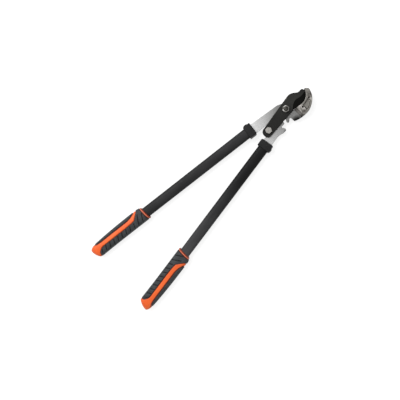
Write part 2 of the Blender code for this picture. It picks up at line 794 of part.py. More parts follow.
def make_ramp_cutter(high):
    """Wedge that slopes the foot of the anvil down to the plate."""
    foot_z = PLATE_TOP + ANVIL_RAMP_FOOT
    front = ANVIL_START_Y - OVERCUT
    back = ANVIL_START_Y + ANVIL_RAMP_LENGTH
    wedge = [(front, foot_z), (ANVIL_START_Y, foot_z), (back, high), (back, high + OVERCUT),
             (front, high + OVERCUT)]
    left = HEEL_X - OVERCUT
    right = anvil_back(0, 0)[0] + OVERCUT
    cutter = prism("anvil ramp", [wedge], left, right)
    turn = Matrix(((0, 0, 1, 0), (1, 0, 0, 0), (0, 1, 0, 0), (0, 0, 0, 1)))
    cutter.data.transform(turn)
    return cutter


def countersink_profile(grow):
    """Conical seat or head at the back of the left plate."""
    top = SCREW_HEAD_RADIUS - SCREW_RADIUS
    outer = SCREW_HEAD_RADIUS + grow
    start = PLATE_BOTTOM - (OVERCUT if grow else 0)
    return [(0, PLATE_BOTTOM + top + grow), (SCREW_RADIUS, PLATE_BOTTOM + top + grow),
            (outer, PLATE_BOTTOM + grow), (outer, start), (0, start)]


def make_anvil_screw(name):
    """Countersunk screw from the back of the plate into the anvil."""
    end = PLATE_BOTTOM + ANVIL_THICKNESS - ANVIL_POCKET_DEPTH
    cone = SCREW_HEAD_RADIUS - SCREW_RADIUS
    profile = [(0, end), (SCREW_RADIUS - SCREW_POINT, end), (SCREW_RADIUS, end - SCREW_POINT),
               (SCREW_RADIUS, PLATE_BOTTOM + cone), (SCREW_HEAD_RADIUS, PLATE_BOTTOM),
               (0, PLATE_BOTTOM)]
    return turned(name, profile, 0, 0, HOLE_SIDES)


def hex_loop(x, y, across, turn):
    """Hexagon of a wrench size."""
    radius = across / math.sqrt(3)
    return [(x + radius * math.cos(math.radians(turn + 60 * i)),
             y + radius * math.sin(math.radians(turn + 60 * i))) for i in range(6)]


def chamfer_body(name, x, y, across, low, high, cut_low, cut_high):
    """Turned body that trims the corners of a hexagon, and runs past its flat ends."""
    radius = across / math.sqrt(3) + SEAT_GAP
    inner = (across - EDGE_SOFTENING) / 2 - OVERCUT
    run = (radius - inner) * HEX_CHAMFER_SLOPE
    past = OVERCUT * HEX_CHAMFER_SLOPE
    top = high + past
    bottom = low - past
    profile = [(0, top)]
    profile += [(inner, top), (radius, top - run)] if cut_high else [(radius, top)]
    profile += [(radius, bottom + run), (inner, bottom)] if cut_low else [(radius, bottom)]
    profile += [(0, bottom)]
    return as_cutter(turned(name, profile, x, y))


def make_hex(name, x, y, across, low, high, turn, cut_low, cut_high):
    """Hexagonal body with chamfered corners."""
    body = prism(name, [hex_loop(x, y, across, turn)], low, high)
    trim = chamfer_body(name + " chamfer", x, y, across, low, high, cut_low, cut_high)
    combine(body, trim, "INTERSECT")
    return body


def make_pivot_bolt():
    """Flanged bolt from behind, with its round end proud of the nut."""
    head_top = PLATE_BOTTOM - 2 * SEAT_GAP - WASHER_THICKNESS
    end = BLADE_TOP + RUNNING_GAP + PIVOT_NUT_HEIGHT + BOLT_PROUD
    hex_top = head_top - FLANGE_HEIGHT / 2
    bolt = make_hex("pivot_bolt", 0, 0, PIVOT_NUT_ACROSS, 0, hex_top, 0, True, False)
    flange = turned("pivot flange", [
        (0, head_top), (WASHER_RADIUS, head_top), (WASHER_RADIUS, head_top - FLANGE_HEIGHT),
        (0, head_top - FLANGE_HEIGHT)], 0, 0)
    shank_start = head_top - 0.7 * FLANGE_HEIGHT
    shank = turned("pivot shank", [
        (0, end), (BOLT_RADIUS - 2 * BOLT_CHAMFER, end),
        (BOLT_RADIUS - BOLT_CHAMFER / 2, end - BOLT_CHAMFER / 2),
        (BOLT_RADIUS, end - 1.6 * BOLT_CHAMFER), (BOLT_RADIUS, shank_start),
        (0, shank_start)], 0, 0)
    combine(bolt, as_cutter(flange), "UNION")
    combine(bolt, as_cutter(shank), "UNION")
    return bolt


def make_link_bolt():
    """Bolt with its head on the blade, through the right plate."""
    low = BLADE_TOP + SEAT_GAP
    high = low + LINK_HEAD_HEIGHT
    bolt = make_hex("link_bolt", LINK_X, LINK_Y, LINK_HEAD_ACROSS, low, high, 90, False, True)
    top = low + LINK_HEAD_HEIGHT / 4
    end = LINK_BOLT_END
    shank = turned("link shank", [
        (0, top), (BOLT_RADIUS, top), (BOLT_RADIUS, end + BOLT_CHAMFER),
        (BOLT_RADIUS - BOLT_CHAMFER, end), (0, end)], LINK_X, LINK_Y)
    combine(bolt, as_cutter(shank), "UNION")
    return bolt


def make_link_nut():
    """Lock nut behind the right plate: a hexagon with a round collar."""
    high = PLATE_BOTTOM - RUNNING_GAP - SEAT_GAP - WASHER_THICKNESS
    nut = make_hex("link_nut", LINK_X, LINK_Y, PIVOT_NUT_ACROSS, LOCK_RING_HEIGHT, high, 90,
                   True, False)
    outer = PIVOT_NUT_ACROSS / 2 - LOCK_RING_STEP
    ring_top = 1.4 * LOCK_RING_HEIGHT
    profile = [(0, ring_top), (outer, ring_top), (outer, BOLT_CHAMFER),
               (outer - BOLT_CHAMFER, 0), (0, 0)]
    combine(nut, as_cutter(turned("lock ring", profile, LINK_X, LINK_Y)), "UNION")
    bore = prism("link nut bore", [circle(LINK_X, LINK_Y, BOLT_RADIUS + SEAT_GAP)],
                 -OVERCUT, high + OVERCUT)
    combine(nut, as_cutter(bore), "DIFFERENCE")
    return nut


def make_pivot_nut():
    """Nut on the face of the blade."""
    low = BLADE_TOP + RUNNING_GAP
    high = low + PIVOT_NUT_HEIGHT
    nut = make_hex("pivot_nut", 0, 0, PIVOT_NUT_ACROSS, low, high, PIVOT_NUT_TURN, False, True)
    bore = prism("pivot nut bore", [circle(0, 0, BOLT_RADIUS + SEAT_GAP)],
                 low - OVERCUT, high + OVERCUT)
    combine(nut, as_cutter(bore), "DIFFERENCE")
    return nut


def make_washer(name, x, y):
    """Rear washer under a plate."""
    high = PLATE_BOTTOM - RUNNING_GAP
    profile = ring_profile(BOLT_RADIUS + SEAT_GAP, WASHER_RADIUS, high - WASHER_THICKNESS, high)
    return turned(name, profile, x, y)


def make_bushing(name, x, y):
    """Sleeve that keeps the nut from pinching the plates."""
    inner = BOLT_RADIUS + SEAT_GAP
    profile = ring_profile(inner, inner + BUSHING_WALL, PLATE_BOTTOM, BLADE_TOP)
    return turned(name, profile, x, y)


def make_tube(name):
    """Oval handle tube, drilled for its rivets."""
    end = GRIP_START + TUBE_IN_GRIP
    tube = prism(name, [tube_oval(0), tube_oval(TUBE_WALL)], 0, end, along_handle=True)
    drill_rivets(tube)
    return tube


def drill_rivets(piece):
    """Cut the two rivet holes through a piece of the handle."""
    reach = HALF_TUBE_DEPTH + OVERCUT
    for index, along in enumerate(RIVET_PLACES):
        hole = prism(f"{piece.name} rivet hole {index}",
                     [circle(0, -along, RIVET_RADIUS + SEAT_GAP, HOLE_SIDES)], -reach, reach)
        combine(piece, as_cutter(hole), "DIFFERENCE")


def make_insert(name):
    """Moulded filler between the tube and the tang."""
    outer = tube_oval(TUBE_WALL + SEAT_GAP)
    half_slot = TANG_WIDTH / 2 + SEAT_GAP
    half_height = PLATE_THICKNESS / 2 + SEAT_GAP
    slot = [(-half_slot, -half_height), (half_slot, -half_height),
            (half_slot, half_height), (-half_slot, half_height)]
    insert = prism(name, [outer, slot], 0, TANG_LENGTH, along_handle=True)
    drill_rivets(insert)
    return insert


def make_rivet(name, along):
    """Rivet through tube, insert and tang, ground flush."""
    reach = HALF_TUBE_DEPTH - RIVET_RECESS
    return prism(name, [circle(0, -along, RIVET_RADIUS, HOLE_SIDES)], -reach, reach)


def make_collar(name, side):
    """Moulded collar over the mouth of the tube, with a lug on its outer side."""
    half_width = HALF_TUBE_WIDTH + COLLAR_WALL
    half_depth = HALF_TUBE_DEPTH + COLLAR_WALL
    top = -SEAT_GAP - COLLAR_CAP
    bottom = top + COLLAR_LENGTH
    lug = half_width + COLLAR_LUG
    corner = COLLAR_OUTER_CORNER
    plan = rounded([
        (-half_width, -top, COLLAR_INNER_CORNER), (-half_width, -bottom, corner),
        (half_width, -bottom, corner), (half_width, -COLLAR_LUG_END - corner),
        (lug, -COLLAR_LUG_END, corner), (lug, -COLLAR_LUG_START - corner, corner),
        (half_width, -COLLAR_LUG_START + corner), (half_width, -top, corner)])
    plan = [(side * x, y) for x, y in plan]
    collar = prism(name, [plan], -half_depth, half_depth)
    soften(collar, COLLAR_EDGES, 2)
    sleeve = prism(name + " bore", [tube_oval(-SEAT_GAP)], -SEAT_GAP, bottom + OVERCUT,
                   along_handle=True)
    half_height = PLATE_THICKNESS / 2 + SEAT_GAP
    left, right = -PLATE_INNER - SEAT_GAP, PLATE_OUTER + SEAT_GAP
    mouth = [(side * x, z) for x, z in ((left, -half_height), (right, -half_height),
                                        (right, half_height), (left, half_height))]
    slot = prism(name + " slot", [mouth], top - OVERCUT, 2 * SEAT_GAP, along_handle=True)
    for cutter in (sleeve, slot):
        combine(collar, as_cutter(cutter), "DIFFERENCE")
    return collar


def grip_widths(along):
    """Inner and outer half widths of the grip, at a distance from its top."""
    share = min(max(along / RUBBER_END, 0), 1)
    inner = GRIP_INNER + GRIP_INNER_FLARE * share ** 4
    outer = GRIP_OUTER - GRIP_OUTER_TAPER * share ** 3
    outer -= GRIP_SHOULDER * math.exp(-max(along, 0) / GRIP_SHOULDER_RUN)
    return inner, outer


def core_recess(along):
    """How far the core lies below the grip's form; the recess fades out at the end cap."""
    faded = max(along - RUBBER_END + STRIP_FLARE, 0) / STRIP_FLARE
    return RUBBER_DEPTH - (RUBBER_DEPTH - END_CAP_INSET) * faded


def ring_lean(along):
    """How far the grip's sections lean, along for each step across; it fades below the ring."""
    share = (along - RUBBER_START) / RING_LEAN_RUN
    return math.tan(math.radians(RING_LEAN)) * min(max(1 - share, 0), 1)


def grip_section(side, along, inset, scale=1.0, skew=0.0):
    """Ring of points round the grip, shrunk by a scale towards a point off its axis."""
    inner, outer = grip_widths(along)
    lean = ring_lean(along)
    power = 2 / GRIP_SQUARENESS
    ring = []
    for index in range(GRIP_SIDES):
        angle = 2 * math.pi * index / GRIP_SIDES
        across = math.cos(angle)
        up = math.sin(angle)
        reach = ((outer if across > 0 else inner) - inset) * scale
        height = (GRIP_THICKNESS / 2 - inset) * scale
        x = reach * math.copysign(abs(across) ** power, across) + skew * (1 - scale)
        z = height * math.copysign(abs(up) ** power, up)
        ring.append((side * x, -(GRIP_START + along + lean * x), z))
    return ring


def grip_stations():
    """Places along the rubber where the grip's form is drawn."""
    fractions = (0.06, 0.12, 0.3, 0.52, 0.72)
    return [RUBBER_END * share for share in fractions] + [RUBBER_END - STRIP_FLARE, RUBBER_END]


def make_grip_form(name, side, inset, start, end):
    """Grip form between two places, set in by a function of the distance from its top."""
    places = [start] + [s for s in grip_stations() if start < s < end] + [end]
    return loft(name, [grip_section(side, place, inset(place)) for place in places])


def make_grip_core(name, side):
    """Hard core: ring, recessed body, and the rounded end of the handle."""
    rings = [grip_section(side, 0, 0, RING_EDGE_SHARE), grip_section(side, RING_EDGE, 0),
             grip_section(side, RING_LENGTH - RUBBER_STEP, 0),
             grip_section(side, RING_LENGTH, RUBBER_DEPTH)]
    rings += [grip_section(side, place, core_recess(place)) for place in grip_stations()]
    for share in (0.2, 0.42, 0.63, 0.82, 0.96):
        scale = (1 - share ** 1.5) ** 0.7
        place = RUBBER_END + share * END_CAP_LENGTH
        rings.append(grip_section(side, place, END_CAP_INSET, scale, END_CAP_SKEW))
    core = loft(name, rings)
    bore_start = GRIP_START - ring_lean(0) * GRIP_OUTER - OVERCUT
    bore = prism(name + " bore", [tube_oval(-SEAT_GAP)], bore_start,
                 GRIP_START + TUBE_IN_GRIP + SEAT_GAP, along_handle=True)
    combine(core, as_cutter(bore), "DIFFERENCE")
    return core


def plan_region(name, side, corners):
    """Cutter over a region of the grip's plan, through its whole depth."""
    depth = GRIP_THICKNESS
    loop = [(side * across, -(GRIP_START + along)) for across, along in corners]
    return prism(name, [loop], -depth, depth)


def palm_corners():
    """Plan of the palm overmould: band, branch edge, strip edge and flared end."""
    wide = 1.3 * GRIP_OUTER
    edge = -STRIP_INNER
    return [
        (-wide, -RUBBER_START), (wide, -RUBBER_START), (wide, BRANCH_START),
        (0.8 * GRIP_OUTER, BRANCH_START), (edge + STRIP_EASE, BRANCH_END),
        (edge + STRIP_EASE / 3, 1.3 * BRANCH_END), (edge, 2 * BRANCH_END),
        (edge, RUBBER_END - STRIP_FLARE), (edge - STRIP_EASE / 2, RUBBER_END - 0.8 * STRIP_FLARE),
        (edge - 3 * STRIP_EASE, RUBBER_END - 0.35 * STRIP_FLARE), (-wide, RUBBER_END)]


def pad_corners():
    """Plan of the outer pad."""
    wide = 1.3 * GRIP_OUTER
    start = BRANCH_START + BRANCH_WIDTH
    return [
        (wide, start), (wide, RUBBER_END), (0.85 * GRIP_OUTER, RUBBER_END),
        (STRIP_OUTER + STRIP_EASE / 3, RUBBER_END - STRIP_FLARE / 2),
        (STRIP_OUTER, RUBBER_END - STRIP_FLARE), (STRIP_OUTER, start + 3 * BRANCH_WIDTH),
        (STRIP_OUTER + STRIP_EASE, start + 1.5 * BRANCH_WIDTH),
        (0.93 * GRIP_OUTER, start + BRANCH_WIDTH / 3)]


def make_overmould(name, side, corners):
    """Rubber skin over a region of the core."""
    end = RUBBER_END - SEAT_GAP
    skin = make_grip_form(name, side, lambda place: 0, RUBBER_START, end)
    region = plan_region(name + " region", side, corners)
    hollow = make_grip_form(name + " hollow", side, lambda place: core_recess(place) - SEAT_GAP,
                            RUBBER_START - OVERCUT, end + OVERCUT)
    for cutter, operation in ((region, "INTERSECT"), (hollow, "DIFFERENCE")):
        combine(skin, as_cutter(cutter), operation)
    return skin


def groove_bars(name, side):
    """Slanting bars that cut the grooves of the palm, all in one mesh."""
    depth = GRIP_THICKNESS
    left = -1.3 * GRIP_INNER
    right = -STRIP_INNER - GROOVE_MARGIN
    loops = []
    for index in range(GROOVE_COUNT):
        start = GROOVE_START + GROOVE_SPACING * index
        bar = [(left, start + GROOVE_RISE), (left, start + GROOVE_RISE + GROOVE_WIDTH),
               (right, start + GROOVE_WIDTH), (right, start)]
        loops.append([(side * across, -(GRIP_START + along)) for across, along in bar])
    return prism(name, loops, -depth, depth)


def make_palm(name, side):
    """Palm overmould with its slanting grooves."""
    palm = make_overmould(name, side, palm_corners())
    bars = groove_bars(name + " grooves", side)
    keep = make_grip_form(name + " groove floor", side, lambda place: GROOVE_DEPTH, 0, RUBBER_END)
    combine(bars, as_cutter(keep), "DIFFERENCE")
    keep.parent = bars
    combine(palm, as_cutter(bars), "DIFFERENCE")
    return palm


clear_scene()
PARTS = new_collection("geared anvil lopper")
CUTTERS = new_collection("cutters")

steel = material("satin steel", STEEL, 0.34, 1.0)
cast = material("cast grey", CAST_GREY, 0.5, 0.9)
zinc = material("zinc plate", ZINC, 0.3, 1.0)
coated = material("black coating", COATED_BLACK, 0.45, 0.0)
painted = material("black painted tube", TUBE_BLACK, 0.5, 0.0)
moulded = material("black moulding", MOULDED_BLACK, 0.5, 0.0)
rubber = material("black rubber", RUBBER_BLACK, 0.75, 0.0)
orange = material("orange moulding", ORANGE, 0.45, 0.0)
filler = material("grey filler", FILLER_GREY, 0.6, 0.0)

pivot_axis = empty("pivot_axis", 0, 0, 0, 0, None)
link_axis = empty("link_axis", LINK_X, LINK_Y, 0, 0, pivot_axis)
left_frame = empty("left_handle_frame", -HANDLE_START_X, HANDLE_START_Y, MID_HEIGHT,
                   -HANDLE_SPLAY, None)
right_frame = empty("right_handle_frame", HANDLE_START_X - LINK_X, HANDLE_START_Y - LINK_Y,
                    MID_HEIGHT, HANDLE_SPLAY, link_axis)

finish(make_left_plate(), steel, None)
finish(make_anvil(), cast, None)
for word, place in zip(("lower", "upper"), screw_places()):
    screw_name = word + "_anvil_screw"
    finish(make_anvil_screw(screw_name), zinc, None, offset=place + (0,))
finish(make_pivot_bolt(), zinc, None)
finish(make_pivot_nut(), zinc, None)
finish(make_washer("pivot_washer", 0, 0), zinc, None)
finish(make_bushing("pivot_bushing", 0, 0), zinc, None)

link_home = (-LINK_X, -LINK_Y, 0)
finish(make_blade(), coated, pivot_axis)
finish(make_link_bolt(), zinc, link_axis, offset=link_home)
finish(make_link_nut(), zinc, link_axis, offset=link_home)
finish(make_washer("link_washer", 0, 0), zinc, link_axis)
finish(make_bushing("link_bushing", 0, 0), zinc, link_axis)
finish(make_right_plate(), steel, link_axis, offset=link_home)

for side, word, frame in ((-1, "left", left_frame), (1, "right", right_frame)):
    finish(make_tube(word + "_tube"), painted, frame)
    finish(make_insert(word + "_tube_insert"), filler, frame)
    for number, along in zip(("first", "second"), RIVET_PLACES):
        finish(make_rivet(f"{word}_{number}_rivet", along), zinc, frame)
    finish(make_collar(word + "_collar", side), moulded, frame)
    finish(make_grip_core(word + "_grip_core", side), orange, frame)
    finish(make_palm(word + "_grip_palm", side), rubber, frame)
    finish(make_overmould(word + "_grip_pad", side, pad_corners()), rubber, frame)
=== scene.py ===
"""Looks of the geared anvil lopper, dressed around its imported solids.

Sizes are in millimetres until a mesh is made. A point on a handle is given as
(across, along, up): outward from the handle's axis, down the handle from its
mouth, and up from the axis. All else is in the part's own frame.
"""
import json
from math import asin, atan2, ceil, copysign, cos, degrees, pi, radians, sin, sqrt, tan

import bmesh
import bpy
import numpy as np
from mathutils import Matrix, Vector
from mathutils.geometry import delaunay_2d_cdt


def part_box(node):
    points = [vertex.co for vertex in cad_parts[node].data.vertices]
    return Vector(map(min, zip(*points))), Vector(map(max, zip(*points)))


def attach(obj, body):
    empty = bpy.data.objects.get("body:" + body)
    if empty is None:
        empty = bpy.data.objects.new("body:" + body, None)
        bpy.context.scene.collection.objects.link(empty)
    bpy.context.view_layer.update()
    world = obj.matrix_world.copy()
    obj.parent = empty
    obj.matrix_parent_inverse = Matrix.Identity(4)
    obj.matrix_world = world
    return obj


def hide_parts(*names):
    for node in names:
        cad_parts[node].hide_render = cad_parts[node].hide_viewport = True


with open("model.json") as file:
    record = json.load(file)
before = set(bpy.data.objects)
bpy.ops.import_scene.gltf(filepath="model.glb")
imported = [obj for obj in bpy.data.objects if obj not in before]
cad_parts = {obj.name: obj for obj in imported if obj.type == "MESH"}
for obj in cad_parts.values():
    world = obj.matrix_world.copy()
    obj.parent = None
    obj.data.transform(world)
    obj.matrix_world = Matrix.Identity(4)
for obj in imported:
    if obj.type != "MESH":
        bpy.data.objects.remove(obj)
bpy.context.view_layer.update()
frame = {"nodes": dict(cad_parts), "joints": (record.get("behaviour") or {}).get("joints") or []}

MM = 0.001


def heights(node):
    """Lowest and highest level of a solid, in millimetres."""
    low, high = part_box(node)
    return low.z / MM, high.z / MM


joint_places = {joint["name"]: joint["pos_m"] for joint in frame["joints"]}
LINK_X, LINK_Y = (value / MM for value in joint_places["handle_link"][:2])
PLATE_BOTTOM, PLATE_TOP = heights("left_handle_plate")
BLADE_BOTTOM, BLADE_TOP = heights("blade")
ANVIL_BOTTOM, ANVIL_TOP = heights("anvil")
NUT_BOTTOM, NUT_TOP = heights("pivot_nut")
BOLT_TOP = heights("pivot_bolt")[1]
LINK_BOLT_END, LINK_HEAD_TOP = heights("link_bolt")
LINK_NUT_TOP = heights("link_nut")[1]
MID_HEIGHT = sum(heights("left_tube")) / 2

# Handle lines
HANDLE_SPLAY = 7.87
HANDLE_START_X = 26.4
HANDLE_START_Y = -93.2
SEAT_GAP = 0.3

# Tube and collar
TUBE_HALF_WIDTH = 14.0
TUBE_HALF_DEPTH = 10.0
TUBE_WALL = 1.6
TUBE_SQUARENESS = 2.6
TUBE_END = 505.3
TUBE_SIDES = 96
COLLAR_WALL = 3.0
COLLAR_TOP = -2.5
COLLAR_BOTTOM = 17.8
COLLAR_LUG = 1.9
COLLAR_LUG_START = 4.8
COLLAR_LUG_END = 13.3
COLLAR_CORNER = 1.5
COLLAR_INNER_CORNER = 4.5
COLLAR_EDGES = 3.5
PLATE_INNER = 14.3
PLATE_OUTER = 12.4

# Grip
GRIP_START = 355.3
GRIP_LENGTH = 187.0
GRIP_HALF_DEPTH = 14.0
GRIP_INNER = 19.3
GRIP_INNER_FLARE = 1.7
GRIP_OUTER = 21.8
GRIP_OUTER_TAPER = 5.0
PLAN_SIDE = 1.3 * GRIP_OUTER
GRIP_SHOULDER = 6.0
GRIP_SHOULDER_RUN = 5.0
GRIP_SQUARENESS = 2.4
RING_LENGTH = 6.0
RING_LEAN = 8.0
RING_LEAN_RUN = 20.0
RUBBER_DEPTH = 2.2
RUBBER_START = RING_LENGTH + SEAT_GAP
RUBBER_END = 171.0
RUBBER_EDGES = 1.4
STRIP_INNER = 3.6
STRIP_OUTER = 12.4
STRIP_EASE = 2.7
STRIP_FLARE = 22.0
STRIP_CROWN = 1.1
STRIP_FLANK = (0.9, 3.2)
SEAM_DEPTH = 0.5
PALM_SEAM = (1.3, 2.5)
PAD_SEAM = (2.8, 4.2)
BRANCH_START = 19.0
BRANCH_END = 37.5
BRANCH_WIDTH = 9.0
GROOVE_COUNT = 10
GROOVE_SPACING = 14.0
GROOVE_START = 26.0
GROOVE_WIDTH = 2.4
GROOVE_DEPTH = 1.7
GROOVE_RISE = 11.0
GROOVE_MARGIN = 1.0
GROOVE_FLANK = 3.2
GROOVE_SHOULDER = 0.35
GROOVE_SHOULDER_RUN = 3.0
FIRST_GROOVE_EXTRA = 9.0
SECOND_GROOVE_EXTRA = 13.0
CAP_INSET = 0.9
CAP_SKEW = 7.5
CAP_END = 0.96
CAP_ROWS = 30
GRIP_COLUMNS = 176
GRIP_ROW = 0.65

# Ring of the core, as distances from its top and depths below the grip's form
RING_PROFILE = ((0, 1.6), (0.3, 1.1), (0.8, 0.8), (1.4, 0.8), (1.8, 1.1), (2.1, 0.6),
                (2.4, 0.2), (2.8, 0.02), (3.3, 0), (3.7, 0.1), (4.0, 0.35), (4.3, 0.8),
                (4.5, 1.5), (4.7, 2.6), (RUBBER_START + 0.2, 2.6))

# Blade and the face of the anvil
EDGE_RADIUS = 28.2
EDGE_X = -9.2
EDGE_Y = 39.0
EDGE_END_ANGLE = 64.0
HEEL_X = 14.7
HEEL_Y = 11.7
HEEL_STEPS = 24
BLADE_TIP = (-0.3, 66.7)
BLADE_CORNERS = ((*BLADE_TIP, 0.8), (-8.0, 63.3, 2.0), (-8.5, 50.5, 7.0), (-22.1, 34.6, 36.0))
BLADE_ROUNDING = ((0.0, 0.35), (0.12, 0.1), (0.35, 0.0))
TAIL_WIDTH = 24.8
TAIL_OFFSET = 1.8
TAIL_DROP = 16.8
BEVEL_WIDTH = 17.5
BEVEL_FULLNESS = 0.7
BEVEL_MARGIN = 0.015
BEVEL_START = (-2.5, HEEL_Y - 4.0)
BEVEL_BAND = 12.0
BEVEL_TILTS = (0.5, 0.9995)
CUTTING_LAND = 0.5
BORE_RADIUS = 6.8

# Anvil casting
ANVIL_WIDTH = 24.0
ANVIL_TAPER = (0.245, 0.00075)
ANVIL_FOOT_TAPER = (0.13, 0.0028)
ANVIL_START_Y = 14.0
ANVIL_TIP_ANGLE = 68.0
ANVIL_TIP_OUTER = (-1.2, 0.3, 3.0)
ANVIL_TIP_INNER = (-4.2, 0.9, 1.2)
ANVIL_EDGES = 0.9
ANVIL_RIM = 4.0
ANVIL_RAMP_LENGTH = 6.5
ANVIL_RAMP_FOOT = 1.5
ANVIL_GRID = 0.7
POCKET_DEPTH = 3.2
POCKET_ENDS = (-21.0, 58.0)
POCKET_SHARES = (0.3, 1.0, 0.4)
POCKET_WALL = (-0.5, 2.6)
POCKET_CORNER = 2.0
STEP_RUN = 0.2
JAW_INSET = 4.5
JAW_END_ANGLE = 48.0
SCREW_RING = 8.3
SCREW_ANGLES = (-10.9, 33.7)
SCREW_RADIUS = 1.75
SCREW_LEVEL = 10.5
SCREW_EDGE = 0.5
SCREW_SIDES = 40
RIB_HALF_WIDTH = 3.0

# Fasteners
BOLT_RADIUS = 5.0
NUT_BORE = BOLT_RADIUS + SEAT_GAP
BOLT_CROWN = 0.8
WASHER_RADIUS = 10.0
NUT_ACROSS = 16.0
NUT_TURN = 12.0
LINK_HEAD_ACROSS = 15.0
LINK_HEAD_BOTTOM = LINK_HEAD_TOP - 6.4
HEX_CHAMFER_RUN = 2.0
HEX_CHAMFER_SLOPE = 0.58
FLANGE_TOP = 9.1
FLANGE_HEIGHT = 2.0
LOCK_RING_HEIGHT = 2.4
THREAD_PITCH = 1.25
THREAD_DEPTH = 0.45
ROUND_SIDES = 72
ARC_STEP = 3.0
SMOOTH_ANGLE = 38.0
CUT_ANGLE = 25.0
BEVEL_ANGLE = 20.0

# Many of these marks are painted light and shade, as said at each.
# Marks on the finishes. A reach of two values runs from full to none; a spot is a place and
# its outer reach; a step from a screw is across, along and the outer reach.
# Tube greys change round the link: painted light and shade.
LINK_PLACE = (LINK_X, LINK_Y, MID_HEIGHT)
COAT_REACH = (150, 400)
# Plates darker round the pivot: painted shade.
PLATE_SHADE_PLACE = (10.0, 10.0, MID_HEIGHT)
PLATE_SHADE_REACH = (35, 108)
# Near-black spots on the plates by the anvil's foot and by the horn: painted shade.
JAW_SHADE_SPOTS = (((41.0, 3.5, MID_HEIGHT), 15), ((38.0, -4.5, MID_HEIGHT), 14),
              ((29.5, -15.5, MID_HEIGHT), 7))
HORN_SHADE_SPOTS = (((40.0, -39.5, MID_HEIGHT), 7),)
SHADE_CORE = 0.25
# Light spots on the anvil, some a step from a screw: painted highlights.
HIGHLIGHT_SPOTS = (((29.0, 16.0, 22.0), 12), ((20.5, 29.0, 28.0), 8))
HIGHLIGHT_STEPS = ((5.2, -0.3, 6), (5.2, -0.3, 6))
# Dark spots a step from each screw: painted shade.
SHADE_STEPS = ((9.9, -5.2, 6), (-3.0, 9.6, 9))
SPOT_CORE = 0.3
# Near-black at the anvil's foot: painted shade.
FOOT_SHADE = ((48, 10, 18), (44, 4, 16))
FOOT_SHADE_REACH = (4, 15)
# A paler patch on the blade's face.
BLADE_PALE_PLACE = (-6, 22, 20)
BLADE_PALE_REACH = (12, 52)
# Spots on the pivot nut: painted highlights.
NUT_HIGHLIGHTS = ((-5.8, 2.8, NUT_TOP), (-1.3, -6.1, NUT_TOP))
NUT_HIGHLIGHT_REACH = (1.2, 4.8)
# Black screw ends in their holes: painted shade.
SCREW_SHADE_REACH = (7, 11)
# Paler peach round each grip ring: painted highlight.
RING_HIGHLIGHT_REACH = (20.5, 23.5)

# Camera, as the photograph's perspective gives it, and the point that the lamps face, in metres
CAMERA_PLACE = (160.8, -181.2, 1213.7)
CAMERA_TURNS = (0.6, 9.8, 45.0)
CAMERA_LENS = 41.8
LAMP_TARGET = (0, -0.28, 0)


def srgb(colour):
    """Scene-linear form of a display colour with values up to 255."""
    shares = [value / 255 for value in colour]
    return [share / 12.92 if share <= 0.04045 else ((share + 0.055) / 1.055) ** 2.4
            for share in shares] + [1.0]


def feed(node, **inputs):
    """Fill a node's inputs, each with a value or from a socket."""
    for name, given in inputs.items():
        socket = node.inputs[name.replace("_", " ")]
        if isinstance(given, bpy.types.NodeSocket):
            node.id_data.links.new(given, socket)
        else:
            socket.default_value = given
    return node


def larger(tree, first, second):
    """Larger of two factors."""
    pick = tree.nodes.new("ShaderNodeMath")
    pick.operation = "MAXIMUM"
    tree.links.new(first, pick.inputs[0])
    tree.links.new(second, pick.inputs[1])
    return pick.outputs[0]


